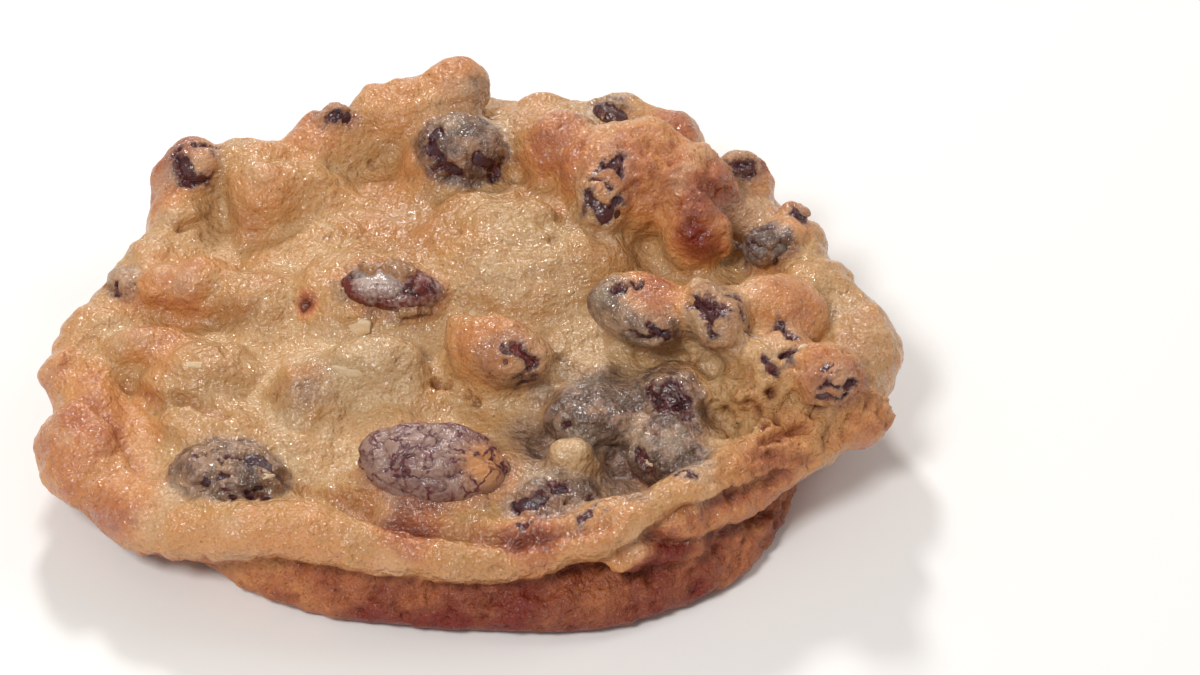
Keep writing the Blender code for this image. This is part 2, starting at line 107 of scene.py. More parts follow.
# Patches of the crust: place and reach in mm, and how much browner, greyer, wetter and paler it is there.
# Grey is where a raisin lies just under the dough and its juice has soaked through.
# Some of the browning is painted shade, as noted at those patches
Patch = namedtuple("Patch", "x y z reach brown grey wet pale", defaults=(0, 0, 0, 0))
PATCHES = {
    "crown_left": Patch(8.5, 14.0, 19.0, 5.5, 0.4),
    "crown_middle": Patch(18.0, 8.0, 21.0, 7.0, 0.42),
    # The crown's right side is browned darker: partly its own browning, partly painted shade
    "crown_right": Patch(23.0, 6.5, 20.0, 5.0, 0.52),
    "crown_dark_edge": Patch(24.5, 7.5, 18.0, 3.0, 0.56),
    "crown_burnt": Patch(22.0, 2.0, 17.5, 3.0, 0.66, 0, 0.2),
    "crown_crag": Patch(17.5, 12.8, 21.0, 2.6, 0.3),
    "left_knuckle": Patch(-21.0, 12.5, 15.5, 5.0, 0.18),
    "left_corner": Patch(-31.5, 18.5, 15.5, 5.0, 0.46),
    "left_corner_side": Patch(-33.0, 14.5, 13.0, 3.5, 0.3),
    "left_bank": Patch(-29.5, -0.5, 14.0, 5.5, 0.28),
    "left_bank_tail": Patch(-23.0, 1.5, 14.0, 4.0, 0.14),
    "left_brow": Patch(-30.5, -7.5, 13.0, 3.8, 0.24),
    "left_flank": Patch(-35.0, -18.0, 11.0, 7.0, 0.36),
    "left_flank_low": Patch(-34.0, -24.0, 8.0, 6.0, 0.34),
    "left_ear": Patch(-40.0, -10.0, 10.0, 4.0, 0.22),
    "lip_left": Patch(-26.5, -28.5, 8.0, 6.0, 0.1),
    "lip_front_left": Patch(-14.5, -32.5, 9.0, 6.5, 0.12, 0, 0.1),
    "lip_front": Patch(-4.5, -32.5, 9.0, 7.0, 0.14, 0, 0.3),
    "lip_front_middle": Patch(3.5, -33.0, 9.0, 7.0, 0.08, 0, 0.4),
    "lip_front_right": Patch(12.5, -31.0, 10.0, 6.0, 0.08, 0, 0.3),
    "lip_right": Patch(20.5, -27.0, 12.0, 5.5, 0.06, 0, 0.1),
    "lip_right_end": Patch(27.0, -24.5, 12.0, 4.5, 0.26),
    "middle_peak": Patch(2.0, -10.5, 16.0, 4.6, 0.26, 0, 0.4),
    "ridge_left": Patch(17.8, -6.6, 18.2, 3.6, 0.4, -0.5, 0.1),
    "ridge_right": Patch(29.5, -8.5, 18.0, 4.5, 0.3),
    "corner_peak": Patch(34.0, -15.5, 16.5, 4.8, 0.3),
    # The corner_foot browning is painted shade under the overhanging corner lump
    "corner_foot": Patch(30.0, -19.8, 11.5, 4.0, 0.22),
    "corner_edge": Patch(37.0, -18.0, 11.0, 4.5, 0.26),
    "back_peak": Patch(-3.0, 27.5, 19.0, 4.5, 0.18),
    "back_slope": Patch(-10.0, 24.5, 17.0, 5.5, 0.15),
    "back_saddle": Patch(-18.0, 23.5, 15.0, 5.5, 0.32),
    "back_lobe": Patch(21.0, 22.5, 16.5, 4.5, 0.4),
    "right_button": Patch(32.0, 10.5, 15.0, 3.0, 0.36),
    "right_knob": Patch(29.5, 15.0, 15.0, 3.0, 0.2),
    "slope": Patch(6.5, 2.5, 15.5, 10.0, -0.1, 0, 0.6),
    "slope_low": Patch(12.5, -9.0, 14.5, 6.0, -0.16, 0, 0.2, 0.2),
    "wet_slope": Patch(-7.0, 8.5, 14.5, 7.0, 0.12, 0.14, 1.0),
    "wet_slope_back": Patch(-8.0, 15.0, 14.5, 5.0, 0.22, 0, 0.6),
    "raisin_bare_rim": Patch(-7.0, -4.0, 14.5, 7.0, 0.0, 0, 0.6),
    "middle_bench": Patch(-8.5, -11.5, 14.0, 5.0, -0.16, 0, 0.1, 0.5),
    "bank_low": Patch(-22.5, -2.5, 13.5, 5.0, -0.06, 0.1, 0.5, 0.1),
    "pillow": Patch(-24.5, -14.0, 13.5, 6.0, -0.04, 0, 0.4, 0.2),
    "shelf": Patch(-31.5, -21.0, 10.0, 4.0, -0.02, 0.1, 0, 0.1),
    "shelf_inner": Patch(-18.0, -19.0, 10.5, 7.0, -0.06, 0, 0.3),
    "bench": Patch(9.0, 22.5, 17.5, 5.5, 0.04, 0, 0.2, 0.1),
    "bench_right": Patch(14.5, 23.5, 17.5, 4.0, -0.12, 0, 0, 0.1),
    "rim_right": Patch(38.0, -4.0, 13.0, 5.5, 0.0, 0.22, 0.2),
    "rim_right_front": Patch(37.5, -9.0, 13.0, 3.5, -0.05, 0.35),
    "rim_right_back": Patch(34.0, 5.0, 13.0, 4.5, -0.02),
    "saddle_right": Patch(27.0, 10.5, 14.0, 4.0, 0.0, 0.4, 0.1),
    "hollow": Patch(12.5, -16.5, 12.0, 6.0, 0.0, 1.15, 0.2),
    "hollow_left": Patch(7.6, -20.5, 10.5, 5.2, 0.0, 0.8, 0.3),
    "hollow_right": Patch(18.8, -20.2, 12.0, 4.8, 0.0, 1.15, 0.2),
    "hollow_front": Patch(15.0, -23.5, 11.0, 3.5, 0.0, 0.9, 0.2),
    "front_film": Patch(7.5, -26.0, 10.8, 3.5, 0.0, 0.8, 0.2),
    "hump": Patch(-15.0, -15.0, 13.5, 3.4, 0.0, 0.55, 0.2),
    "front_left_film": Patch(-23.5, -22.5, 11.0, 4.5, 0.0, 0.45, 0.2),
    "ridge_foot_film": Patch(18.0, -15.0, 14.0, 4.5, 0.0, 0.6, 0.3),
    "ridge_film": Patch(13.5, -10.5, 16.0, 3.5, 0.0, 0.5, 0.3),
    "back_film": Patch(-1.0, 19.0, 18.0, 5.5, 0.0, 0.5, 0.1),
    "back_peak_film": Patch(0.0, 26.0, 18.0, 2.6, -0.1, 0.6),
    "front_knob": Patch(10.0, -23.0, 13.5, 2.8, -0.14, -0.8, 0.1, 0.6),
    "brown_pocket": Patch(-16.0, -2.0, 12.5, 1.3, 0.6, 0.2),
    "knuckle_shadow": Patch(-23.0, 9.5, 13.5, 3.0, 0.2, 0.3),
    # The valley patches' browning is painted shade in the crease before the lip
    "valley": Patch(-5.0, -28.6, 9.5, 4.0, 0.42, 0.1, 0.2),
    "valley_right": Patch(6.5, -31.0, 10.5, 4.0, 0.44, 0, 0.4),
}

# Pits torn in the crust: place, reach and depth in mm
Pit = namedtuple("Pit", "x y z reach depth")
PITS = (
    Pit(-2.9, -12.1, 11.3, 0.7, 0.8),
    Pit(-2.0, -12.3, 11.2, 0.5, 0.7),
    Pit(0.2, -12.7, 10.4, 0.5, 0.6),
    Pit(0.8, -13.6, 10.4, 0.6, 0.7),
    Pit(-16.2, -1.8, 12.2, 0.7, 0.6),
    Pit(28.5, -16.9, 14.6, 0.7, 1.1),
    Pit(27.1, -17.9, 13.2, 0.7, 0.9),
    Pit(26.0, -16.6, 13.3, 0.5, 0.8),
    Pit(25.2, -15.2, 13.2, 0.35, 0.6),
    Pit(27.7, -19.4, 13.1, 0.5, 0.9),
    Pit(24.1, -17.6, 13.0, 0.4, 0.6),
    Pit(25.4, -19.4, 12.9, 0.45, 0.7),
    Pit(26.6, -17.0, 13.6, 0.4, 0.7),
    Pit(28.9, -18.6, 13.2, 0.5, 0.7),
    Pit(32.2, -18.2, 12.9, 0.4, 0.7),
    Pit(-11.1, 20.3, 12.3, 0.6, 0.5),
    Pit(-13.1, 19.2, 12.6, 0.5, 0.4),
    Pit(-14.9, 9.0, 11.8, 0.5, 0.5),
    Pit(-13.6, 9.4, 11.8, 0.4, 0.4),
    Pit(-29.8, 9.9, 12.3, 0.4, 0.5),
    Pit(2.3, 8.0, 15.7, 0.4, 0.4),
    Pit(7.8, 4.4, 15.5, 0.8, 0.35),
    Pit(24.6, -24.0, 9.0, 0.6, 0.6),
)

# The lower edge of the lip all round the cookie: degrees from +X, the height in mm that the red-brown
# base reaches, and the height that the orange second fold over it reaches
LIP_EDGE = (
    (180, 2.0, 2.0),
    (208, 2.0, 2.0),
    (217, 3.0, 3.0),
    (226, 5.4, 5.4),
    (237, 6.3, 6.3),
    (250, 5.9, 5.9),
    (264, 5.0, 5.0),
    (279, 5.8, 5.8),
    (290, 6.2, 6.2),
    (296, 7.2, 7.6),
    (301, 8.4, 9.8),
    (306, 7.2, 10.4),
    (313, 6.0, 10.0),
    (321, 5.8, 9.4),
    (328, 6.0, 7.5),
    (345, 5.0, 5.0),
    (360, 4.2, 4.2),
)

# Creases where folds of dough meet: points in mm along each, then its reach and depth
Crease = namedtuple("Crease", "points reach depth")
CREASES = {
    "flank": Crease(
        ((-35.8, -13.5, 11.0), (-34.3, -15.2, 10.4), (-32.9, -16.9, 10.0), (-30.5, -20.4, 8.5)),
        0.8,
        0.5,
    ),
    "pillow": Crease(((-32.9, -9.6, 8.8), (-30.9, -12.0, 9.9), (-29.2, -13.3, 10.1)), 0.7, 0.6),
    "pillow_right": Crease(
        ((-27.6, -13.6, 10.9), (-25.9, -14.2, 11.1), (-22.6, -16.1, 11.2)), 0.7, 0.7
    ),
    "shelf": Crease(
        ((-19.5, -21.1, 11.0), (-17.0, -22.8, 10.2), (-15.2, -23.1, 8.4), (-11.9, -25.6, 9.7)),
        0.8,
        0.8,
    ),
    "valley": Crease(
        (
            (-11.9, -25.6, 9.7),
            (-7.4, -28.6, 10.2),
            (-2.8, -29.9, 10.3),
            (0.7, -30.1, 10.2),
            (5.1, -31.6, 10.2),
        ),
        1.4,
        1.3,
    ),
    "valley_right": Crease(((5.1, -31.6, 10.2), (9.5, -31.4, 10.9), (12.9, -30.7, 11.1)), 1.1, 0.8),
    "fold_start": Crease(((13.0, -31.0, 6.8), (15.2, -31.0, 8.4), (17.2, -30.2, 9.6)), 0.9, 0.6),
    "fold": Crease(
        ((17.2, -30.2, 9.6), (18.4, -29.6, 10.2), (20.0, -28.7, 11.0), (23.2, -26.6, 10.3)), 0.9, 1.1
    ),
    "fold_end": Crease(((23.2, -26.6, 10.3), (25.8, -25.0, 9.9), (29.8, -22.8, 9.7)), 1.0, 1.0),
    "fold_foot": Crease(
        ((16.9, -30.3, 9.1), (20.6, -30.2, 7.7), (24.6, -26.5, 6.0), (28.1, -23.1, 5.8)), 1.0, 1.1
    ),
    "crown_foot": Crease(
        ((4.3, 17.4, 14.5), (5.2, 11.6, 15.1), (8.7, 8.2, 15.6), (12.5, 5.0, 15.6)), 1.0, 0.5
    ),
    "crown_foot_right": Crease(((16.5, 5.3, 11.7), (21.4, 3.4, 11.5), (24.0, 3.8, 13.0)), 1.0, 0.5),
    "corner_under": Crease(
        ((27.2, -21.7, 13.3), (29.1, -20.7, 12.9), (30.1, -19.8, 12.7), (31.5, -19.2, 12.6)), 0.7, 0.9
    ),
    "corner_foot": Crease(
        ((24.0, -20.3, 11.6), (26.2, -23.1, 13.1), (29.5, -22.1, 11.3), (32.1, -21.4, 10.1)), 0.8, 0.6
    ),
    "ridge_foot": Crease(
        ((12.9, -4.7, 11.6), (16.4, -7.1, 11.2), (22.0, -10.2, 11.9), (26.0, -15.0, 15.4)), 0.9, 0.6
    ),
    "torn_left": Crease(((-30.1, 9.8, 12.3), (-28.3, 10.8, 12.5), (-27.0, 12.9, 11.7)), 0.5, 0.5),
    "bank_foot": Crease(
        ((-33.6, -0.3, 11.6), (-29.7, -1.5, 10.3), (-25.2, -2.1, 10.4), (-21.5, -3.0, 12.5)), 1.3, 0.5
    ),
    "hump": Crease(((-18.4, -14.2, 11.2), (-16.8, -13.4, 13.6), (-14.4, -11.7, 13.0)), 0.8, 0.4),
    "peak_foot": Crease(
        ((3.1, -11.0, 16.7), (6.4, -11.9, 15.9), (8.6, -7.7, 10.4), (11.5, -9.6, 10.6)), 0.7, 0.4
    ),
    "left_step": Crease(((-39.2, -9.7, 10.7), (-38.1, -7.1, 10.9), (-36.7, -5.2, 11.0)), 0.8, 0.3),
}

# How each raisin looks: the finish of its skin, how much of it lies open, how grey the dough film over the
# rest is and how much film clings to the skin itself, each from 0 to 1, and how deep its folds are in mm
Look = namedtuple("Look", "finish bare grey film fold")
LOOKS = {
    "raisin_bare": Look("red", 0.82, 0.5, 0.54, 0.3),
    "raisin_big": Look("beige", 1.0, 0.45, 0.76, 0.42),
    "raisin_back": Look("grey", 0.1, 0.85, 0.0, 0.30),
    "raisin_middle": Look("red", 0.1, 0.4, 0.0, 0.22),
    "raisin_front_left": Look("grey", 0.1, 0.75, 0.0, 0.32),
    "raisin_crown": Look("dark", 0.1, 0.25, 0.0, 0.34),
    "raisin_ridge_left": Look("grey", 0.1, 0.8, 0.0, 0.32),
    "raisin_ridge_middle": Look("dark", 0.1, 0.45, 0.0, 0.36),
    "raisin_ridge_right": Look("dark", 0.1, 0.25, 0.0, 0.32),
    "raisin_ridge_foot": Look("dark", 0.1, 0.85, 0.0, 0.34),
    "raisin_corner": Look("dark", 0.1, 0.3, 0.0, 0.28),
    "raisin_front": Look("grey", 0.1, 0.75, 0.0, 0.34),
    "raisin_pale": Look("grey", 0.6, 0.9, 0.70, 0.20),
    "raisin_button": Look("dark", 0.35, 0.35, 0.1, 0.2),
    "raisin_knob": Look("dark", 0.35, 0.5, 0.1, 0.2),
    "raisin_bench": Look("dark", 0.3, 0.6, 0.3, 0.2),
    "raisin_left_corner": Look("dark", 0.1, 0.35, 0.0, 0.26),
    "raisin_notch": Look("dark", 0.3, 0.5, 0.1, 0.2),
    "raisin_left_bank": Look("dark", 0.2, 0.6, 0.1, 0.2),
    "raisin_hollow": Look("grey", 0.1, 1.0, 0.0, 0.3),
    "raisin_hollow_right": Look("grey", 0.1, 1.0, 0.0, 0.3),
}

# Where the film that clings to an open raisin is thicker, or thinner where the amount is below 0: place and
# reach in mm, and the amount
Cling = namedtuple("Cling", "raisin x y z reach amount")
CLINGS = (
    Cling("raisin_bare", -12.2, -2.4, 14.2, 1.5, -0.63),
    Cling("raisin_bare", -10.9, -3.4, 13.2, 1.4, -0.56),
    Cling("raisin_bare", -8.3, -3.8, 13.4, 1.5, -0.42),
    Cling("raisin_bare", -8.6, -2.0, 16.0, 2.6, 0.42),
    Cling("raisin_bare", -10.8, -0.8, 15.8, 1.8, 0.42),
    Cling("raisin_bare", -4.6, -1.6, 15.4, 2.0, -0.49),
    Cling("raisin_bare", -5.8, -3.4, 14.0, 1.4, -0.21),
    Cling("raisin_big", -9.3, -23.0, 12.0, 1.6, -0.17),
    Cling("raisin_big", -5.0, -19.2, 13.2, 1.8, -0.17),
    Cling("raisin_big", 0.2, -20.6, 13.6, 1.8, -0.14),
)

# Where an open raisin is browned like the dough: place and reach in mm
GOLDEN = (("raisin_big", 2.0, -24.6, 13.2, 2.6), ("raisin_big", -3.5, -19.0, 14.6, 1.3))

# Tears in the film of dough, where the dark skin of a raisin shows: both ends and half the width, in mm
Tear = namedtuple("Tear", "start end half")
TEARS = (
    Tear((-30.3, 17.5, 16.4), (-27.0, 18.7, 15.7), 0.8),
    Tear((-30.0, 16.3, 15.5), (-29.6, 14.8, 15.1), 0.8),
    Tear((-28.9, 14.5, 15.1), (-27.5, 14.3, 14.7), 0.7),
    Tear((-15.7, 24.1, 15.4), (-14.2, 23.7, 16.0), 0.6),
    Tear((4.9, -11.6, 15.2), (6.2, -12.3, 13.0), 0.9),
    Tear((5.9, -12.0, 13.6), (5.2, -13.4, 12.6), 0.9),
    Tear((3.0, -11.6, 15.6), (3.9, -12.2, 15.2), 0.35),
    Tear((-4.6, 19.2, 17.4), (-4.2, 16.4, 16.0), 1.2),
    Tear((-3.9, 16.0, 15.6), (-1.7, 15.5, 14.4), 1.0),
    Tear((0.4, 16.4, 15.6), (1.9, 15.9, 14.8), 1.1),
    Tear((-0.6, 17.6, 17.2), (0.4, 16.4, 16.2), 0.35),
    Tear((2.2, 18.8, 16.4), (2.4, 17.4, 15.6), 0.4),
    Tear((-25.3, -21.2, 11.2), (-22.8, -22.3, 11.9), 0.34),
    Tear((-22.8, -22.3, 11.9), (-22.3, -24.4, 11.2), 0.4),
    Tear((-22.8, -22.0, 11.9), (-19.6, -22.6, 11.6), 0.42),
    Tear((-19.6, -22.6, 11.6), (-18.4, -24.0, 11.0), 0.32),
    Tear((-21.4, -25.8, 10.3), (-17.8, -25.4, 9.9), 0.52),
    Tear((-22.3, -24.4, 11.2), (-21.0, -23.8, 11.4), 0.32),
    Tear((13.9, -5.9, 17.5), (16.0, -6.4, 19.0), 0.6),
    Tear((16.0, -10.0, 16.1), (19.2, -9.9, 15.4), 0.6),
    Tear((17.1, -9.4, 17.1), (17.8, -10.3, 16.0), 0.5),
    Tear((21.6, -8.4, 19.1), (23.0, -10.4, 18.8), 0.75),
    Tear((23.0, -10.4, 18.8), (23.1, -11.5, 17.4), 0.7),
    Tear((25.2, -7.2, 18.0), (23.2, -10.4, 18.8), 0.6),
    Tear((24.1, -9.8, 18.8), (25.6, -9.5, 18.0), 0.45),
    Tear((26.3, -9.8, 16.1), (29.8, -8.4, 15.4), 0.45),
    Tear((29.6, -8.4, 15.6), (30.5, -9.7, 15.2), 0.5),
    Tear((28.1, -14.1, 16.2), (30.3, -14.2, 17.1), 0.5),
    Tear((28.5, -14.8, 15.9), (29.6, -14.7, 16.5), 0.6),
    Tear((17.2, -14.9, 13.1), (20.1, -17.6, 12.7), 0.8),
    Tear((19.6, -15.0, 14.2), (20.5, -16.4, 13.0), 0.7),
    Tear((18.3, -15.3, 13.8), (19.2, -16.1, 13.3), 0.7),
    Tear((32.9, -17.0, 15.8), (35.6, -16.9, 15.5), 0.4),
    Tear((32.9, -17.8, 15.0), (34.7, -17.8, 15.0), 0.5),
    Tear((32.0, -16.5, 12.7), (32.1, -17.6, 13.8), 0.3),
    Tear((4.5, -26.5, 10.1), (5.4, -29.3, 10.3), 0.54),
    Tear((5.1, -26.8, 10.1), (7.8, -26.3, 10.8), 0.61),
    Tear((7.8, -26.3, 10.8), (9.4, -25.6, 10.9), 0.54),
    Tear((7.8, -23.9, 10.4), (8.3, -26.1, 10.9), 0.54),
    Tear((12.0, -25.7, 9.9), (12.4, -28.5, 11.2), 0.47),
    Tear((12.4, -28.5, 11.2), (11.0, -30.3, 12.0), 0.41),
    Tear((9.6, -18.6, 12.2), (10.7, -17.6, 12.9), 0.45),
    Tear((16.0, -21.4, 11.0), (17.2, -22.8, 10.8), 0.74),
    Tear((20.2, -24.6, 12.3), (20.7, -25.3, 12.4), 0.54),
    Tear((12.5, 10.1, 20.9), (14.1, 9.7, 20.2), 0.3),
    Tear((11.7, 7.4, 20.7), (13.7, 7.5, 19.7), 0.3),
    Tear((13.1, 11.0, 21.1), (12.3, 8.5, 20.9), 0.3),
    Tear((14.6, 11.3, 21.0), (14.0, 9.0, 20.4), 0.45),
    Tear((11.5, 6.0, 19.1), (13.1, 7.6, 15.8), 0.9),
    Tear((14.3, 7.6, 17.8), (13.7, 7.3, 15.8), 0.7),
    Tear((27.3, 4.4, 14.6), (28.1, 3.6, 14.0), 0.5),
    Tear((27.9, 5.8, 15.3), (29.3, 6.0, 15.3), 0.45),
    Tear((32.2, 9.1, 15.0), (32.5, 8.7, 14.6), 0.8),
    Tear((26.1, 14.9, 16.6), (27.3, 14.4, 15.9), 0.8),
    Tear((12.7, 22.2, 18.1), (14.3, 21.0, 17.7), 0.7),
    Tear((-35.0, 1.5, 12.1), (-34.7, 0.9, 11.6), 0.5),
)

# Dabs of dough that still cover a raisin: place and reach in mm
DABS = ((-6.8, 0.6, 15.4, 1.6), (29.4, 5.8, 15.2, 1.2))

# Oat flakes that lie bare on the crust: place in mm, half length in mm, turn in degrees
Flake = namedtuple("Flake", "x y z half turn")
BARE_FLAKES = (
    Flake(-11.4, -4.9, 12.0, 1.9, 6),
    Flake(-11.2, -12.4, 13.1, 1.5, -8),
    Flake(31.3, -13.3, 17.2, 0.8, 30),
    Flake(-17.8, -23.6, 10.6, 0.7, 20),
    Flake(16.9, -22.6, 11.2, 0.55, -20),
    Flake(-26.2, -11.7, 13.5, 1.2, -10),
    Flake(0.1, -6.5, 15.5, 1.2, 30),
)


# ---- helpers for meshes ----


def smoothstep(low, high, value):
    t = np.clip((value - low) / (high - low), 0.0, 1.0)
    return t * t * (3.0 - 2.0 * t)


def merged_copy(name):
    """A bmesh of a CAD node with its loose triangles joined."""
    bm = bmesh.new()
    bm.from_mesh(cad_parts[name].data)
    bmesh.ops.remove_doubles(bm, verts=bm.verts, dist=0.002 * MM)
    return bm


def new_piece(name, bm):
    mesh = bpy.data.meshes.new(name)
    bm.to_mesh(mesh)
    bm.free()
    piece = bpy.data.objects.new(name, mesh)
    bpy.context.scene.collection.objects.link(piece)
    return piece


def apply_modifiers(piece):
    bpy.context.view_layer.update()
    graph = bpy.context.evaluated_depsgraph_get()
    mesh = bpy.data.meshes.new_from_object(piece.evaluated_get(graph))
    piece.modifiers.clear()
    old = piece.data
    piece.data = mesh
    mesh.name = piece.name
    bpy.data.meshes.remove(old)


def vectors_of(mesh, field):
    """The place ("co") or the normal ("normal") of each vertex."""
    out = np.empty(len(mesh.vertices) * 3, np.float32)
    mesh.vertices.foreach_get(field, out)
    return out.reshape(-1, 3).astype(float)


def edges_of(mesh):
    ends = np.empty(len(mesh.edges) * 2, np.int32)
    mesh.edges.foreach_get("vertices", ends)
    return ends.reshape(-1, 2)


def put_places(mesh, co):
    mesh.vertices.foreach_set("co", co.astype(np.float32).ravel())
    mesh.update()


def ray_tree(mesh):
    bm = bmesh.new()
    bm.from_mesh(mesh)
    tree = BVHTree.FromBMesh(bm)
    bm.free()
    return tree


def near_tree(co):
    tree = kdtree.KDTree(len(co))
    for index, place in enumerate(co):
        tree.insert(place, index)
    tree.balance()
    return tree


def put_mask(mesh, name, values):
    """Stores one number a vertex, which a material reads by its name."""
    layer = mesh.attributes.new(name, "FLOAT", "POINT")
    layer.data.foreach_set("value", np.clip(values, -1.0, 1.0).astype(np.float32))


def relaxed(co, edges, rounds):
    """The places after each vertex has drifted towards its neighbours that many times."""
    own, other = np.concatenate([edges, edges[:, ::-1]]).T
    links = np.bincount(own, minlength=len(co))[:, None]
    out = co.copy()
    for _ in range(rounds):
        near = [np.bincount(own, weights=out[other, axis], minlength=len(co)) for axis in range(3)]
        out = 0.4 * out + 0.6 * np.stack(near, 1) / links
    return out


def noise_at(co, size, seed=0.0):
    """Smooth noise from about -1 to 1 with features of that size in mm."""
    shift = Vector((seed, seed * 0.7, -seed))
    scale = 1.0 / (size * MM)
    return np.array([noise.noise(Vector(p) * scale + shift) for p in co]) * 1.6


def noise_vectors(co, size, seed, step):
    """Three noises a place, as a vector that moves it."""
    return np.stack([noise_at(co, size, seed + step * i) for i in range(3)], 1)


def crags_at(co, size, octaves, seed=0.0):
    """Rough noise with that many layers of finer detail."""
    shift = Vector((seed, -seed, seed * 0.3))
    scale = 1.0 / (size * MM)
    return np.array([noise.fractal(Vector(p) * scale + shift, 0.7, 2.1, octaves) for p in co])


def cells_at(co, size, seed=0.0):
    """Distance to the nearest of many scattered points, in cells of that size in mm: 0 on a point."""
    shift = Vector((seed, seed, -seed))
    scale = 1.0 / (size * MM)
    return np.array([noise.voronoi(Vector(p) * scale + shift)[0][0] for p in co])


def aimed_at(tree, x, y, z):
    """Where the slanting line of sight through that place meets the crust, and the crust's normal there."""
    start = Vector((x, y, z)) * MM - SIGHT * SIGHT_START
    hit = tree.ray_cast(start, SIGHT)
    if hit[0] is None:
        hit = tree.find_nearest(Vector((x, y, z)) * MM)
    return hit[0], hit[1]


# ---- the raisins' shapes, read from the frame ----


class RaisinShape:
    """Middle, axes and half sizes of a raisin's solid."""

    def __init__(self, name):
        co = np.array([v.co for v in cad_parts[name].data.vertices], float)
        middle = co.mean(0)
        _, axes = np.linalg.eigh(np.cov((co - middle).T))
        axes = axes[:, ::-1].T
        if np.linalg.det(axes) < 0:
            axes[2] = -axes[2]
        along = (co - middle) @ axes.T
        self.axes = axes
        self.half = (along.max(0) - along.min(0)) / 2
        self.middle = middle + (along.max(0) + along.min(0)) / 2 @ axes

    def matrix(self, growth=0.0):
        """What turns a ball of radius 1 into the raisin's shape, grown by that much."""
        turn = Matrix([list(row) for row in self.axes.T]).to_4x4()
        size = Matrix.Diagonal((*(self.half + growth), 1.0))
        return Matrix.Translation(Vector(self.middle)) @ turn @ size

    def distance(self, co):
        """About how far each place is from the raisin's skin, in metres, and the direction away from it."""
        local = (co - self.middle) @ self.axes.T
        scaled = np.linalg.norm(local / self.half, axis=1)
        away = local / self.half**2
        away /= np.maximum(np.linalg.norm(away, axis=1), 1e-9)[:, None]
        length = np.linalg.norm(local, axis=1)
        depth = (scaled - 1.0) * length / np.maximum(scaled, 1e-6)
        return np.where(scaled > 1e-6, depth, -self.half.min()), away @ self.axes


# ---- the crust ----


def crust_body(settings):
    """The dough with its raisin pockets filled, as one fine, soft skin."""
    bm = merged_copy("dough")
    for name in LOOKS:
        filling = RaisinShape(name).matrix(settings.pocket_fill * MM)
        bmesh.ops.create_icosphere(bm, subdivisions=4, radius=1.0, matrix=filling)
    crust = new_piece("crust", bm)
    remesh = crust.modifiers.new("fine skin", "REMESH")
    remesh.mode = "VOXEL"
    remesh.voxel_size = settings.grain
    soften = crust.modifiers.new("soften", "SMOOTH")
    soften.factor = 0.5
    soften.iterations = settings.softening
    apply_modifiers(crust)
    bm = bmesh.new()
    bm.from_mesh(crust.data)
    flat = [face for face in bm.faces if face.calc_center_median().z < UNDERSIDE and face.normal.z < -0.99]
    bmesh.ops.dissolve_faces(bm, faces=flat, use_verts=True)
    bmesh.ops.triangulate(bm, faces=[face for face in bm.faces if len(face.verts) > 8])
    bm.to_mesh(crust.data)
    bm.free()
    return crust


def soft_flakes(co, normals, settings):
    """Height in mm of the oat flakes that lie under the skin of the dough, and which of them show pale."""
    rng = random.Random(SOFT_FLAKE_SEED)
    tree = near_tree(co)
    rise = np.zeros(len(co))
    pale = np.zeros(len(co))
    for _ in range(settings.soft_flakes):
        index = rng.randrange(len(co))
        if co[index][2] < 3 * MM or normals[index][2] < -0.3:
            continue
        half = rng.uniform(1.1, 2.1) * MM
        wide = half * rng.uniform(0.6, 0.9)
        turn = rng.uniform(0, math.pi)
        high = rng.uniform(0.08, 0.22)
        shows = rng.random() < 0.14
        normal = Vector(normals[index])
        side = normal.orthogonal().normalized()
        along = Matrix.Rotation(turn, 3, normal) @ side
        across = normal.cross(along)
        for place, near, _ in tree.find_range(co[index], half * 1.5):
            step = place - Vector(co[index])
            out = math.hypot(step.dot(along) / half, step.dot(across) / wide)
            if out < 1.4 and abs(step.dot(normal)) < 1.2 * MM:
                edge = 1.0 / (1.0 + math.exp(7.0 * (out - 0.9)))
                rise[near] = max(rise[near], high * edge)
                if shows:
                    pale[near] = max(pale[near], edge)
    return rise, pale


def small_pits(co, normals, weights, settings):
    """Depth in mm of the small holes that steam has left, more of them where the weight is high."""
    rng = random.Random(STEAM_HOLE_SEED)
    tree = near_tree(co)
    depth = np.zeros(len(co))
    for _ in range(settings.small_pits):
        index = rng.randrange(len(co))
        if rng.random() > weights[index]:
            continue
        reach = rng.uniform(0.4, 0.7) * MM
        deep = rng.uniform(0.15, 0.45)
        for _, near, out in tree.find_range(co[index], reach * 1.3):
            depth[near] = max(depth[near], deep * (1.0 - smoothstep(0.35, 1.2, out / reach)))
    return depth


def named_pits(co, tree):
    """Depth in mm of the pits that are torn in the crust."""
    depth = np.zeros(len(co))
    ragged = np.maximum(0.3, 1.0 + 0.45 * noise_at(co, 0.9, 40.0))
    for pit in PITS:
        middle, _ = aimed_at(tree, pit.x, pit.y, pit.z)
        out = np.linalg.norm(co - np.array(middle), axis=1) / (pit.reach * MM) / ragged
        depth = np.maximum(depth, pit.depth * (1.0 - smoothstep(0.3, 1.15, out)))
    return depth


def creases(co, tree):
    """Depth in mm of the creases between the folds of dough."""
    ragged = 0.25 * noise_at(co, 1.6, 44.0)
    depth = np.zeros(len(co))
    for crease in CREASES.values():
        hits = [np.array(aimed_at(tree, *point)[0]) for point in crease.points]
        for start, end in zip(hits, hits[1:]):
            out = along_segment(co, start, end) / crease.reach + ragged
            depth = np.maximum(depth, crease.depth * (1.0 - smoothstep(0.0, 1.4, out)))
    return depth


def along_segment(co, start, end):
    """How far each place is from the segment, in mm."""
    line = end - start
    t = np.clip(((co - start) @ line) / (line @ line), 0.0, 1.0)
    return np.linalg.norm(co - start - t[:, None] * line, axis=1) / MM


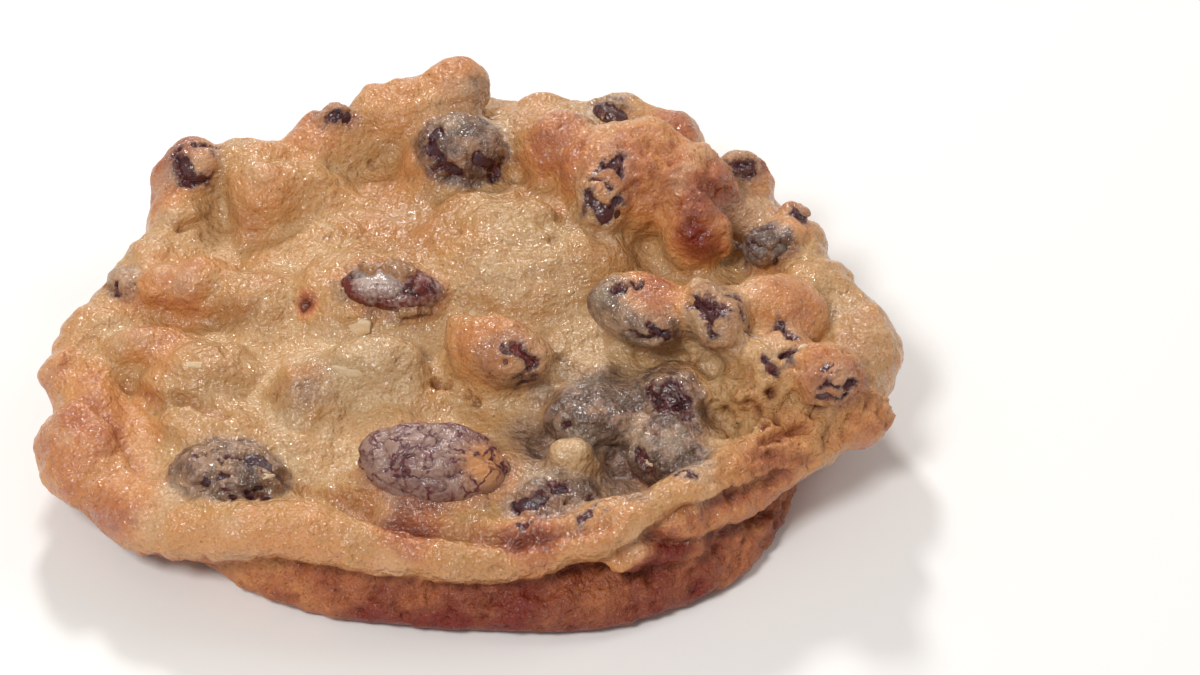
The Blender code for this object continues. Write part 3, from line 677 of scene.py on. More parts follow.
def tears(co, tree):
    """How near each place is to a tear in the film: 1 in its middle, about 0.45 at its edge, 0 outside."""
    bend = noise_vectors(co, 1.7, 31.0, 7.0) * 0.55 * MM + noise_vectors(co, 0.8, 61.0, 7.0) * 0.25 * MM
    width = np.clip(1.0 + 0.5 * noise_at(co, 1.5, 34.0), 0.4, 1.5)
    out = np.zeros(len(co))
    for tear in TEARS:
        start, end = (np.array(aimed_at(tree, *point)[0]) for point in (tear.start, tear.end))
        far = along_segment(co + bend, start, end) / (tear.half * width)
        out = np.maximum(out, np.clip(1.0 - far / 1.8, 0.0, 1.0))
    return out


def aimed_weight(co, x, y, z, reach, wobble=1.0):
    """How much a patch counts: 1 in its middle, 0 past its reach, which is longer along the sight line."""
    sight = np.array(SIGHT)
    step = co - np.array((x, y, z)) * MM
    along = step @ sight
    across = step - along[:, None] * sight
    far = np.sqrt((across**2).sum(1) + (0.4 * along) ** 2) / (reach * MM) * wobble
    return 1.0 - smoothstep(0.25, 1.35, far)


def patch_masks(co):
    """What the named patches add in all. Where patches overlap, the stronger one holds."""
    keys = ("brown", "grey", "wet", "pale")
    most = {key: np.zeros(len(co)) for key in keys}
    least = {key: np.zeros(len(co)) for key in keys}
    wobble = 1.0 + 0.3 * noise_at(co, 4.0, 3.0)
    for patch in PATCHES.values():
        weight = aimed_weight(co, patch.x, patch.y, patch.z, patch.reach, wobble)
        for key in keys:
            amount = getattr(patch, key)
            if amount > 0:
                most[key] = np.maximum(most[key], amount * weight)
            elif amount < 0:
                least[key] = np.minimum(least[key], amount * weight)
    return {key: most[key] + least[key] for key in keys}


def bake_crust(settings):
    """The crust with its relief, and what its material reads: how browned, stained, wet and torn it is, and
    where shade is painted.
    """
    crust = crust_body(settings)
    mesh = crust.data
    tree = ray_tree(mesh)
    co = vectors_of(mesh, "co")
    normals = vectors_of(mesh, "normal")
    wide = relaxed(co, edges_of(mesh), BULGE_ROUNDS)
    bulge = np.clip(((co - wide) * normals).sum(1) / MM, -1.5, 1.5)
    masks = patch_masks(co)

    # The base, the fold over it and the outer side
    high = co[:, 2] / MM
    outward = np.linalg.norm(co[:, :2], axis=1) / MM
    level = normals[:, 2]
    turn = np.degrees(np.arctan2(co[:, 1], co[:, 0])) % 360.0
    wave = 0.35 * noise_at(co, 4.0, 9.0)
    angles, feet, tops = zip(*LIP_EDGE)
    foot = np.interp(turn, angles, feet, left=feet[-1], right=feet[-1]) + wave
    lip_edge = np.interp(turn, angles, tops, left=tops[-1], right=tops[-1]) + wave
    outer = smoothstep(0.95, 0.75, level)
    base = 1.0 - smoothstep(foot - 0.5, foot + 0.5, high)
    fold = (1.0 - smoothstep(lip_edge - 0.5, lip_edge + 0.5, high)) * outer * (1.0 - base)

    # Raisins: how near, where the skin lies open, and how grey the film of dough over the rest is
    torn = tears(co, tree)
    dabbed = np.zeros(len(co))
    for x, y, z, reach in DABS:
        far = np.linalg.norm(co - np.array(aimed_at(tree, x, y, z)[0]), axis=1) / (reach * MM)
        dabbed = np.maximum(dabbed, 1.0 - smoothstep(0.8, 1.1, far + 0.25 * noise_at(co, 1.4, 33.0)))
    rims = np.zeros(len(co))
    film = np.zeros(len(co))
    opened = np.zeros(len(co))
    away = np.zeros((len(co), 3))
    sunk = np.zeros(len(co))
    creep = noise_at(co, 1.7, 5.0)
    patchy = noise_at(co, 2.4, 7.0) + 0.35 * noise_at(co, 0.9, 8.0)
    for name, look in LOOKS.items():
        gap, direction = RaisinShape(name).distance(co)
        gap /= MM
        film = np.maximum(film, look.grey * (1.0 - smoothstep(0.5, 1.7, gap + 0.3 * creep)))
        edge = 0.6 + 0.3 * creep
        cap = 1.0 - smoothstep(edge, edge + 0.3, gap)
        shows = smoothstep(0.0, 0.12, patchy + 2.4 * (look.bare - 0.5)) if look.bare < 1 else 1.0
        hole = cap * np.maximum(shows * (1.0 - dabbed), smoothstep(0.62, 0.8, torn))
        if look.bare >= 0.3:
            rim = (1.0 - smoothstep(edge + 0.1, edge + 0.8, gap)) * shows * (1.0 - dabbed)
            rims = np.maximum(rims, rim)
        take = hole > opened
        opened[take] = hole[take]
        away[take] = direction[take]
        sunk[take] = gap[take] + settings.raisin_proud / MM

    # The relief, in mm. The last number that a noise is given is its seed.
    rise, pale = soft_flakes(co, normals, settings)
    swell = 0.14 * noise_at(co, 5.5, 1.0)
    puffs = np.abs(noise_at(co, 3.0, 2.0)) * 0.24 - 0.08
    lumps = (0.45 - cells_at(co, 2.0, 25.0)) * 0.2
    crumb = crags_at(co, 1.4, 3, 4.0) * 0.11
    wet = np.clip(masks["wet"], 0.0, 1.0)
    bubbles = wet * np.abs(noise_at(co, 1.3, 6.0)) * 0.22
    spot = aimed_weight(co, 19.0, 8.5, 20.0, 7.5, 1.0 + 0.3 * creep)
    corner = smoothstep(20.0, 26.0, co[:, 0] / MM) * smoothstep(-11.0, -15.5, co[:, 1] / MM)
    corner *= smoothstep(9.0, 10.5, high)
    crown = spot * smoothstep(15.5, 17.5, high)
    rough = np.clip(np.maximum(np.maximum(base, 0.7 * fold), np.maximum(0.9 * corner, 0.8 * crown)), 0, 1)
    craggy = (crags_at(co, 1.6, 3, 8.0) * 0.3 - 0.25 * cells_at(co, 2.2, 26.0) + 0.1) * rough
    craggy *= 1.0 + 0.6 * crown + 1.2 * corner
    pits = small_pits(co, normals, 0.02 + 0.98 * rough * (1.0 - 0.5 * base), settings)
    holes = named_pits(co, tree)
    folds = creases(co, tree)
    wrinkles = film * (1.0 - smoothstep(0.0, 0.28, np.abs(noise_at(co, 2.0, 17.0)))) * 0.25
    dents = 0.3 * smoothstep(0.3, 0.65, torn)
    relief = swell + puffs + lumps + rise + crumb + bubbles + craggy
    relief = relief - pits - holes - folds - wrinkles - dents
    relief *= 1.0 - opened
    relief *= 1.0 - 0.85 * smoothstep(2.2, 0.2, high)
    co = co + normals * (relief * MM)[:, None]
    co -= away * (opened * sunk * MM)[:, None]
    co[:, 2] = np.maximum(co[:, 2], 0.0)
    put_places(mesh, np.clip(co, np.array(CAD_LOW) - BOX_ROOM, np.array(CAD_HIGH) + BOX_ROOM))

    # The browning with painted shade in the holes, creases and under overhangs, the stain of the raisins'
    # juice, and the rest of what the material reads
    rim = smoothstep(26.0, 33.0, outward) * smoothstep(0.75, 0.1, level)
    brown = 0.17 + 0.1 * bulge + masks["brown"]
    brown = brown + 0.06 * noise_at(co, 7.0, 12.0) + 0.03 * noise_at(co, 2.0, 13.0)
    brown += 0.04 * rim * (1.0 - base)
    brown = np.maximum(brown, fold * (0.56 + 0.08 * noise_at(co, 3.0, 18.0)))
    side = 0.3 * smoothstep(238.0, 264.0, turn) - 0.2 * smoothstep(300.0, 318.0, turn)
    brown = brown * (1.0 - base) + base * (0.51 + side + 0.16 * noise_at(co, 3.5, 14.0) + 0.08 * bulge)
    # Faces that turn down are browned to at least 0.72: the underside's own browning, and painted shade
    # under the overhangs
    brown = np.maximum(brown, 0.72 * smoothstep(-0.3, -0.8, level))
    # Holes, creases and pits are browned deeper: painted shade in the recesses. Rims brown the dough round
    # open raisins.
    brown += 0.3 * np.minimum(holes, 1.0) + 0.22 * np.minimum(folds, 1.0) + 0.12 * pits + 0.25 * rims
    grey = np.maximum(np.clip(masks["grey"], 0, 1), film)
    grey = np.maximum(grey, 0.75 * smoothstep(0.02, 0.4, torn))
    grey = np.clip(grey * (0.95 + 0.15 * noise_at(co, 2.0, 15.0)) + np.minimum(masks["grey"], 0.0), 0, 1)
    put_mask(mesh, "browning", brown)
    put_mask(mesh, "stain", grey)
    put_mask(mesh, "skin", torn)
    put_mask(mesh, "wet", wet)
    put_mask(mesh, "flake", np.clip(pale * 0.45 * (1.0 - base) + masks["pale"], 0, 1))
    # The hole mask carries painted shade into the holes, pits and creases
    put_mask(mesh, "hole", np.clip(holes + 0.4 * pits + 0.4 * folds, 0, 1))
    put_mask(mesh, "dry", np.maximum(np.maximum(base, 0.5 * fold), np.maximum(0.8 * crown, 0.8 * corner)))
    mesh.shade_smooth()
    mesh.materials.append(baked_dough(settings))
    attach(crust, "root")
    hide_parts("dough")
    return crust


# ---- materials ----


def linear(hex_colour):
    """An sRGB hex colour as linear red, green, blue and alpha."""
    parts = [int(hex_colour[i : i + 2], 16) / 255.0 for i in (1, 3, 5)]
    return tuple(c / 12.92 if c <= 0.04045 else ((c + 0.055) / 1.055) ** 2.4 for c in parts) + (1.0,)


def shade_of(hex_colour, amount):
    """A darker shade of an sRGB hex colour."""
    parts = [round(int(hex_colour[i : i + 2], 16) * amount) for i in (1, 3, 5)]
    return "#" + "".join(f"{part:02x}" for part in parts)


def feed(socket, value):
    """Links an input to another node's output, or sets it."""
    if isinstance(value, bpy.types.NodeSocket):
        socket.id_data.links.new(value, socket)
    else:
        socket.default_value = value


def add_node(tree, kind, *inputs, out=0, **named):
    """Adds a node with its settings and links, and gives its output of that number or name.

    The inputs are those in use, in their order, or go by their names with _ for a space.
    A name in small letters is one of the node's settings.
    """
    node = tree.nodes.new("ShaderNode" + kind)
    for name, value in named.items():
        if name.islower():
            setattr(node, name, value)
    for socket, value in zip([socket for socket in node.inputs if socket.enabled], inputs):
        feed(socket, value)
    for name, value in named.items():
        if not name.islower():
            feed(node.inputs[name.replace("_", " ")], value)
    return node.outputs[out] if out else next(socket for socket in node.outputs if socket.enabled)


def new_material(name):
    material = bpy.data.materials.new(name)
    material.use_nodes = True
    return material


def set_shader(material, **values):
    """Links or sets the inputs of a material's shader, named with _ for a space."""
    shader = material.node_tree.nodes["Principled BSDF"]
    for name, value in values.items():
        feed(shader.inputs[name.replace("_", " ")], value)
    return material


def put_stops(colour, stops):
    """Sets the places and the sRGB hex colours of a colour ramp."""
    elements = colour.node.color_ramp.elements
    while len(elements) < len(stops):
        elements.new(0.5)
    for element, (place, hex_colour) in zip(elements, stops):
        element.position = place
        element.color = linear(hex_colour)


def spread(add, value, amount):
    """Noise that varies about nought by that much."""
    return add("Math", add("Math", value, 0.5, operation="SUBTRACT"), amount, operation="MULTIPLY")


def spared(add, value, amount):
    """1 where the value is 0, and less by that much where it is 1."""
    return add("Math", 1.0, add("Math", value, amount, operation="MULTIPLY"), operation="SUBTRACT")


# What the crust's vertices carry for the dough's material, each by its name
CRUST_MASKS = ("browning", "stain", "skin", "wet", "flake", "hole", "dry")

# The noises of the dough's material: size in mm, layers of finer detail, and how rough those make it
DOUGH_GRAINS = {
    "mottle": (3.2, 3.0, 0.55),
    "glossy": (2.4, 2.0, 0.55),
    "glaze": (1.6, 2.0, 0.55),
    "crumb": (1.3, 3.0, 0.55),
    "grain": (0.8, 4.0, 0.55),
    "crumbled": (0.75, 4.0, 0.65),
    "beads": (0.6, 1.5, 0.55),
    "ragged": (0.55, 3.0, 0.7),
    "sugar": (0.4, 2.0, 0.6),
    "speckle": (0.3, 2.0, 0.6),
}


def baked_dough(settings):
    """Baked oat dough, browned by the oven: matte and crumbly where dry, elsewhere glazed by its sugar; with
    painted shade and glints.
    """
    material = new_material("baked oat dough")
    add = partial(add_node, material.node_tree)
    place = add("TexCoord", out="Object")
    mask = {name: add("Attribute", out="Fac", attribute_name=name) for name in CRUST_MASKS}
    noises = {
        name: add("TexNoise", Vector=place, Scale=1.0 / (size * MM), Detail=detail, Roughness=rough)
        for name, (size, detail, rough) in DOUGH_GRAINS.items()
    }
    mottle, grain, sugar, ragged = (noises[name] for name in ("mottle", "grain", "sugar", "ragged"))

    browning = add("Math", mask["browning"], spread(add, mottle, 0.24), operation="ADD")
    browning = add("Math", browning, spread(add, grain, 0.3), operation="ADD")
    colour = add("ValToRGB", browning)
    put_stops(
        colour,
        (
            (0.0, settings.pale_hex),
            (0.2, settings.golden_hex),
            (0.42, settings.orange_hex),
            (0.62, settings.brown_hex),
            (0.82, settings.dark_hex),
            (1.0, settings.burnt_hex),
        ),
    )
    # Dough soaked with raisin juice: a light film with dark clouds in it
    deep = add("Math", mask["stain"], 0.6, operation="MULTIPLY")
    cloud = add("Math", grain, spread(add, mottle, 1.2), operation="ADD")
    cloud = add("MapRange", add("Math", cloud, deep, operation="ADD"), 0.8, 1.06)
    stained = add("Mix", cloud, linear(settings.film_hex), linear(settings.stain_hex), data_type="RGBA")
    soaked = add("Math", mask["stain"], spread(add, mottle, 0.4), operation="ADD")
    soaked = add("Math", soaked, spread(add, ragged, 0.3), operation="ADD")
    soaked = add("MapRange", soaked, 0.12, 0.85, 0.0, 0.94)
    colour = add("Mix", soaked, colour, stained, data_type="RGBA")
    # Oat under the skin, moist dough, and painted shade deep in the holes, pits and creases
    for name, amount, hex_colour, blend in (
        ("flake", 0.5, settings.oat_hex, "MIX"),
        ("wet", 0.5, settings.wet_hex, "MULTIPLY"),
        ("hole", 0.8, settings.hole_shade_hex, "MIX"),
    ):
        share = add("Math", mask[name], amount, operation="MULTIPLY")
        colour = add("Mix", share, colour, linear(hex_colour), data_type="RGBA", blend_type=blend)
    # Where the film is torn the dark skin shows, with ragged edges of about 0.5 mm
    torn = add("Math", mask["skin"], spread(add, ragged, 0.7), operation="ADD")
    torn = add("MapRange", add("Math", torn, spread(add, sugar, 0.2), operation="ADD"), 0.34, 0.56)
    redder = add("MapRange", grain, 0.42, 0.62)
    skin = add("Mix", redder, linear(settings.skin_hex), linear(settings.red_skin_hex), data_type="RGBA")
    colour = add("Mix", torn, colour, skin, data_type="RGBA")
    # Fine grain of the baked skin, and painted glints: bright points painted into the colour where the sugar
    # glaze would sparkle
    speckle = add("MapRange", noises["speckle"], 0.5, 0.7, 0.0, 0.4)
    tint = linear(settings.grain_hex)
    colour = add("Mix", speckle, colour, tint, data_type="RGBA", blend_type="MULTIPLY")
    moist = spared(add, mask["dry"], 0.7)
    painted_glint_share = add("MapRange", noises["glossy"], 0.4, 0.62, 0.2, 1.0)
    painted_glint_share = add("Math", add("MapRange", sugar, 0.6, 0.72, 0.0, 0.35), painted_glint_share, operation="MULTIPLY")
    painted_glint_share = add("Math", painted_glint_share, moist, operation="MULTIPLY")
    colour = add("Mix", painted_glint_share, colour, linear(settings.painted_glint_hex), data_type="RGBA")
    # Bran and cinnamon specks, about 0.25 mm across
    specks = add("TexVoronoi", Vector=place, Scale=1.0 / (1.3 * MM), Randomness=1.0)
    rare = add("SeparateColor", specks.node.outputs["Color"])
    rare = add("Math", rare, 0.6, operation="GREATER_THAN")
    dots = add("Math", add("MapRange", specks, 0.07, 0.14, 0.6, 0.0), rare, operation="MULTIPLY")
    colour = add("Mix", dots, colour, linear(settings.speck_hex), data_type="RGBA")

    # Rough, less so where it is wet or where a raisin's skin shows
    wet = add("Math", mask["wet"], 0.1, operation="MULTIPLY")
    roughness = add("Math", 0.46, wet, operation="SUBTRACT")
    roughness = add("Math", roughness, spread(add, noises["glaze"], 0.3), operation="ADD")
    smoother = add("Math", torn, 0.12, operation="MULTIPLY")
    roughness = add("Math", roughness, smoother, operation="SUBTRACT")
    # The glaze lies in patches, thicker where it is wet, and thin in the tears, the holes and the dry parts
    glaze = add("MapRange", noises["glaze"], 0.35, 0.6, 0.3, 0.95)
    glaze = add("Math", glaze, add("Math", mask["wet"], 0.3, operation="MULTIPLY"), operation="ADD")
    for share in (spared(add, torn, 0.6), spared(add, mask["hole"], 0.8), moist):
        glaze = add("Math", glaze, share, operation="MULTIPLY")

    # Crumb of 1.3 mm, and grain of 0.4 mm that breaks the glaze into glints: a little coarser than it is.
    # The dry parts have crumbled: grains of about 0.5 mm stand out of them.
    beads = noises["beads"]
    low = add("Bump", Strength=0.9, Distance=0.4 * MM, Height=noises["crumb"])
    fine = add("Bump", Strength=1.0, Distance=0.3 * MM, Height=beads, Normal=low)
    fine = add("Bump", Strength=1.0, Distance=0.07 * MM, Height=sugar, Normal=fine)
    crumbly = add("Bump", Strength=mask["dry"], Distance=0.5 * MM, Height=noises["crumbled"], Normal=fine)
    return set_shader(
        material,
        Base_Color=colour,
        Roughness=roughness,
        IOR=1.46,
        Subsurface_Weight=0.15,
        Subsurface_Radius=(1.0, 0.6, 0.35),
        Subsurface_Scale=1.5 * MM,
        Normal=crumbly,
        Coat_Weight=glaze,
        Coat_Roughness=0.13,
        Coat_IOR=1.5,
        Coat_Normal=add("Bump", Strength=1.0, Distance=0.55 * MM, Height=beads, Normal=low),
    )


# Raisin skins: the skin, the skin in the folds, darker as painted shade, the film of dough on it, how rough
# it is, how much light goes in, and how dark its fine lines are
Finish = namedtuple("Finish", "skin fold film rough soft dark")
FINISHES = {
    "grey": Finish("#431f28", "#280f18", "#a39588", 0.34, 0.05, 0.3),
    "beige": Finish("#5c1c28", "#40101c", "#bb9684", 0.4, 0.1, 1.0),
    "red": Finish("#6a2018", "#3c100c", "#dcc4b6", 0.22, 0.25, 0.3),
    "dark": Finish("#4a1c20", "#280f12", "#8a6a5c", 0.3, 0.04, 0.4),
}

# What a raisin's vertices carry for its material, and that material's noises: size in mm, layers of detail
RAISIN_MASKS = ("fold", "film", "golden")
SKIN_GRAINS = {"crack": (1.5, 3.0), "mottle": (1.1, 4.0), "fine": (0.38, 2.0)}


def raisin_skin(name, dough_hex):
    """Dried grape skin under a thin film of baked dough: leathery, a little glossy, with painted shade in
    its folds.
    """
    finish = FINISHES[name]
    material = new_material("raisin skin, " + name)
    add = partial(add_node, material.node_tree)
    place = add("TexCoord", out="Object")
    mask = {name: add("Attribute", out="Fac", attribute_name=name) for name in RAISIN_MASKS}
    crack, mottle, fine = (
        add("TexNoise", Vector=place, Scale=1.0 / (size * MM), Detail=detail)
        for size, detail in SKIN_GRAINS.values()
    )
    # Lines of about 0.15 mm where the film has cracked over the wrinkles, broken off here and there
    bend = add("VectorMath", crack.node.outputs["Color"], 3.0 * MM, operation="SCALE")
    bent = add("VectorMath", place, bend, operation="ADD")
    net = add("TexVoronoi", Vector=bent, Scale=1.0 / (1.9 * MM), feature="DISTANCE_TO_EDGE")
    net = add("MapRange", net, 0.035, 0.12, finish.dark, 0.0)
    lines = add("Math", net, add("MapRange", crack, 0.43, 0.54), operation="MULTIPLY")
    # The film of dough, in patches, with none in the lines
    film = add("Math", mask["film"], spread(add, mottle, 0.9), operation="ADD")
    film = add("Math", film, spread(add, fine, 1.1), operation="ADD")
    film = add("MapRange", film, 0.1, 0.9, 0.0, 0.92)
    film = add("Math", film, spared(add, lines, 1.0), operation="MULTIPLY")
    tone = add("Mix", mottle, linear(finish.film), linear(shade_of(finish.film, 0.72)), data_type="RGBA")
    tone = add("Mix", mask["golden"], tone, linear(dough_hex), data_type="RGBA")
    # The folds take the darker fold colour: painted shade
    skin = add("Mix", mask["fold"], linear(finish.skin), linear(finish.fold), data_type="RGBA")
    bump = add("Bump", Strength=0.6, Distance=0.08 * MM, Height=lines, invert=True)
    bump = add("Bump", Strength=0.5, Distance=0.16 * MM, Height=mottle, Normal=bump)
    bump = add("Bump", Strength=1.0, Distance=0.14 * MM, Height=fine, Normal=bump)
    return set_shader(
        material,
        Base_Color=add("Mix", film, skin, tone, data_type="RGBA"),
        Roughness=add("MapRange", film, 0.0, 1.0, finish.rough, finish.rough + 0.14),
        Subsurface_Weight=finish.soft,
        Subsurface_Radius=(1.0, 0.3, 0.15),
        Subsurface_Scale=1.5 * MM,
        Normal=bump,
        Coat_Weight=0.5,
        Coat_Roughness=0.16,
        Coat_Normal=bump,
    )


def rolled_oat(settings):
    """Rolled oats, steamed and pressed flat: pale, dry and matte, with a faint grain along the flake."""
    material = new_material("rolled oat")
    add = partial(add_node, material.node_tree)
    mottle = add("TexNoise", Vector=add("TexCoord", out="Object"), Scale=1.0 / (0.7 * MM), Detail=3.0)
    colour = add("ValToRGB", mottle)
    put_stops(colour, ((0.3, settings.shade_hex), (0.65, settings.oat_hex)))
    return set_shader(
        material,
        Base_Color=colour,
        Roughness=0.5,
        Subsurface_Weight=0.15,
        Subsurface_Radius=(1.0, 0.8, 0.6),
        Subsurface_Scale=0.8 * MM,
        Normal=add("Bump", Strength=0.5, Distance=0.1 * MM, Height=mottle),
    )


# ---- raisins ----


def shape_raisin(name, look, materials, seed):
    """A raisin with folds between plump ridges, in the place and size of its solid."""
    shape = RaisinShape(name)
    bm = bmesh.new()
    detail = 6 if shape.half.max() > LONG_RAISIN else 5
    bmesh.ops.create_icosphere(bm, subdivisions=detail, radius=1.0)
    ball = np.array([v.co for v in bm.verts])
    body = ball * shape.half
    stretch = np.array((0.55, 1.0, 1.0))
    warp = noise_vectors(body, 3.0, seed, 30.0) * 0.7 * MM
    bed = (body + warp) * stretch
    large = np.abs(noise_at(bed, 2.9, seed + 1.0))
    small = np.abs(noise_at(bed, 1.3, seed + 2.0))
    here = smoothstep(-0.35, 0.35, noise_at(body, 2.4, seed + 4.0))
    fold = here * (1.0 - smoothstep(0.02, 0.2, large))
    fold = np.maximum(fold, 0.7 * (1.0 - here) * (1.0 - smoothstep(0.0, 0.22, small)))
    swell = smoothstep(0.0, 0.9, large)
    film = look.film + 0.3 * noise_at(body, 2.6, seed + 3.0) - 0.4 * fold
    dent = look.fold * (0.55 * fold + 0.75 * (1.0 - swell))
    dent -= 0.1 * look.fold * crags_at(body, 1.2, 2, seed)
    away = ball / shape.half
    away /= np.linalg.norm(away, axis=1)[:, None]
    placed = (body - away * (np.clip(dent, 0, 1) * MM)[:, None]) @ shape.axes + shape.middle
    for vert, place in zip(bm.verts, placed):
        vert.co = place
    piece = new_piece(name.replace("raisin", "plump_raisin"), bm)
    mesh = piece.data
    for cling in CLINGS:
        if cling.raisin == name:
            film = film + cling.amount * aimed_weight(placed, cling.x, cling.y, cling.z, cling.reach)
    golden = np.zeros(len(placed))
    for raisin, x, y, z, reach in GOLDEN:
        if raisin == name:
            golden = np.maximum(golden, aimed_weight(placed, x, y, z, reach))
    put_mask(mesh, "fold", fold)
    put_mask(mesh, "film", np.maximum(film, golden))
    put_mask(mesh, "golden", golden)
    mesh.shade_smooth()
    mesh.materials.append(materials[look.finish])
    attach(piece, "root")
    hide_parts(name)
    return piece


# ---- oat flakes ----


def add_flake(bm, place, normal, half, turn, rng):
    """A pressed oat flake, slightly cupped, lying on the crust."""
    made = bmesh.ops.create_uvsphere(bm, u_segments=26, v_segments=8, radius=1.0)
    side = Vector((1, 0, 0)) - normal * normal.x
    side = side.normalized() if side.length > 0.1 else normal.orthogonal().normalized()
    along = Matrix.Rotation(turn, 3, normal) @ side
    across = normal.cross(along)
    wide = half * rng.uniform(0.42, 0.6)
    cup = rng.uniform(-0.2, -0.05) * MM
    seed = rng.uniform(0, 50)
    for vert in made["verts"]:
        x, y, z = vert.co
        edge = 1.0 + 0.5 * noise.noise(Vector((x * 1.5, y * 1.5, seed)))
        groove = 0.2 * math.exp(-((y / 0.16) ** 2))
        lift = z * FLAKE_THICKNESS * (1.0 - groove) + cup * (x * x + y * y) - FLAKE_SUNK
        vert.co = place + along * (x * half * edge) + across * (y * wide * edge) + normal * lift


def place_flakes(settings):
    """Oat flakes that lie bare on the crust."""
    tree = ray_tree(bpy.data.objects["crust"].data)
    rng = random.Random(BARE_FLAKE_SEED)
    bm = bmesh.new()
    for flake in BARE_FLAKES:
        place, normal = aimed_at(tree, flake.x, flake.y, flake.z)
        add_flake(bm, place, normal, flake.half * MM, math.radians(flake.turn), rng)
    flakes = new_piece("oat_flakes", bm)
    flakes.data.shade_smooth()
    flakes.data.materials.append(rolled_oat(settings))
    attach(flakes, "root")
    return flakes


# ---- stage ----


def aimed_light(name, place, energy, size):
    """A soft white lamp that shines on the cookie."""
    data = bpy.data.lights.new(name, "AREA")
    data.energy = energy
    data.size = size
    light = bpy.data.objects.new(name, data)
    bpy.context.scene.collection.objects.link(light)
    light.location = place
    light.rotation_mode = "QUATERNION"
    light.rotation_quaternion = (Vector((0, 0, 0.01)) - light.location).to_track_quat("-Z", "Y")
    return light


def set_stage(settings):
    """A white table top, a camera at the photograph's angle, and soft light."""
    scene = bpy.context.scene
    bm = bmesh.new()
    bmesh.ops.create_grid(bm, x_segments=1, y_segments=1, size=2.0)
    bmesh.ops.translate(bm, verts=bm.verts, vec=(0, 0, -TABLE_GAP))
    floor = new_piece("table_top", bm)
    paint = new_material("matte white table top")
    floor.data.materials.append(set_shader(paint, Base_Color=linear(settings.floor_hex), Roughness=0.8))

    camera = bpy.data.cameras.new("camera")
    camera.lens = 80.0
    camera.sensor_width = 36.0
    camera.clip_start = 0.01
    camera.clip_end = 20.0
    holder = bpy.data.objects.new("camera", camera)
    scene.collection.objects.link(holder)
    holder.location = LOOK_AT - SIGHT * settings.distance
    holder.rotation_mode = "QUATERNION"
    holder.rotation_quaternion = SIGHT.to_track_quat("-Z", "Y")
    scene.camera = holder

    world = bpy.data.worlds.new("studio")
    world.use_nodes = True
    background = world.node_tree.nodes["Background"]
    background.inputs["Color"].default_value = linear(settings.fill_hex)
    background.inputs["Strength"].default_value = settings.fill
    scene.world = world
    for name, (place, width) in LAMPS.items():
        aimed_light(name, place, getattr(settings, name), width)
    scene.view_settings.view_transform = "Standard"
    scene.view_settings.look = "None"


# ---- settings, operators and panel ----


class CrustSettings(bpy.types.PropertyGroup):
    grain: bpy.props.FloatProperty(
        name="Skin detail",
        description="Size of the smallest detail of the skin",
        default=0.385 * MM,
        unit="LENGTH",
        precision=5,
    )
    softening: bpy.props.IntProperty(
        name="Softening", description="How often the skin is smoothed", default=12, min=0
    )
    pocket_fill: bpy.props.FloatProperty(
        name="Pocket fill",
        description="How far the dough closes over a raisin, in millimetres",
        default=0.42,
    )
    raisin_proud: bpy.props.FloatProperty(
        name="Raisin proud",
        description="How far the dough lies under a raisin's bare skin",
        default=0.7 * MM,
        unit="LENGTH",
        precision=5,
    )
    soft_flakes: bpy.props.IntProperty(
        name="Flakes in the dough", description="How many oat flakes swell the skin", default=900, min=0
    )
    small_pits: bpy.props.IntProperty(
        name="Steam holes", description="How many small holes are tried", default=6000, min=0
    )
    pale_hex: bpy.props.StringProperty(
        name="Pale dough", description="Colour of the least baked dough", default="#c9a576"
    )
    golden_hex: bpy.props.StringProperty(
        name="Golden dough", description="Colour of the dough as a whole", default="#c4935c"
    )
    orange_hex: bpy.props.StringProperty(
        name="Orange crust", description="Colour of the baked peaks", default="#d08f55"
    )
    brown_hex: bpy.props.StringProperty(
        name="Brown crust", description="Colour of the base", default="#b86d41"
    )
    dark_hex: bpy.props.StringProperty(
        name="Dark crust", description="Colour of the darkest edges", default="#8f4526"
    )
    burnt_hex: bpy.props.StringProperty(
        name="Burnt crust", description="Colour of the burnt spot", default="#801e06"
    )
    film_hex: bpy.props.StringProperty(
        name="Film", description="Colour of the thinnest dough over a raisin", default="#937566"
    )
    stain_hex: bpy.props.StringProperty(
        name="Raisin stain", description="Colour of dough soaked with raisin juice", default="#523b33"
    )
    wet_hex: bpy.props.StringProperty(
        name="Wet dough", description="Tint of the dough where it is moist", default="#dcc8a8"
    )
    oat_hex: bpy.props.StringProperty(
        name="Oat", description="Colour of the oat under the skin", default="#e3cba8"
    )
    # Painted shade: the dark colour laid into holes, pits and creases
    hole_shade_hex: bpy.props.StringProperty(
        name="Holes", description="Colour deep in the holes", default="#54240f"
    )
    skin_hex: bpy.props.StringProperty(
        name="Torn film", description="Colour of raisin skin in a tear", default="#401c24"
    )
    red_skin_hex: bpy.props.StringProperty(
        name="Torn film, red", description="Redder colour of raisin skin in a tear", default="#662722"
    )
    grain_hex: bpy.props.StringProperty(
        name="Grain", description="Tint of the darker grain of the skin", default="#d0a078"
    )
    # Painted glints: the colour of the bright points painted where the glaze would sparkle
    painted_glint_hex: bpy.props.StringProperty(
        name="Dried sugar", description="Colour of the bright points", default="#f6e2cc"
    )
    speck_hex: bpy.props.StringProperty(
        name="Specks", description="Colour of the bran specks", default="#7a4a28"
    )


class FlakeSettings(bpy.types.PropertyGroup):
    oat_hex: bpy.props.StringProperty(name="Oat", description="Colour of the flakes", default="#dfc5a2")
    shade_hex: bpy.props.StringProperty(
        name="Oat shade", description="Darker colour in the flakes' grain", default="#d2b084"
    )


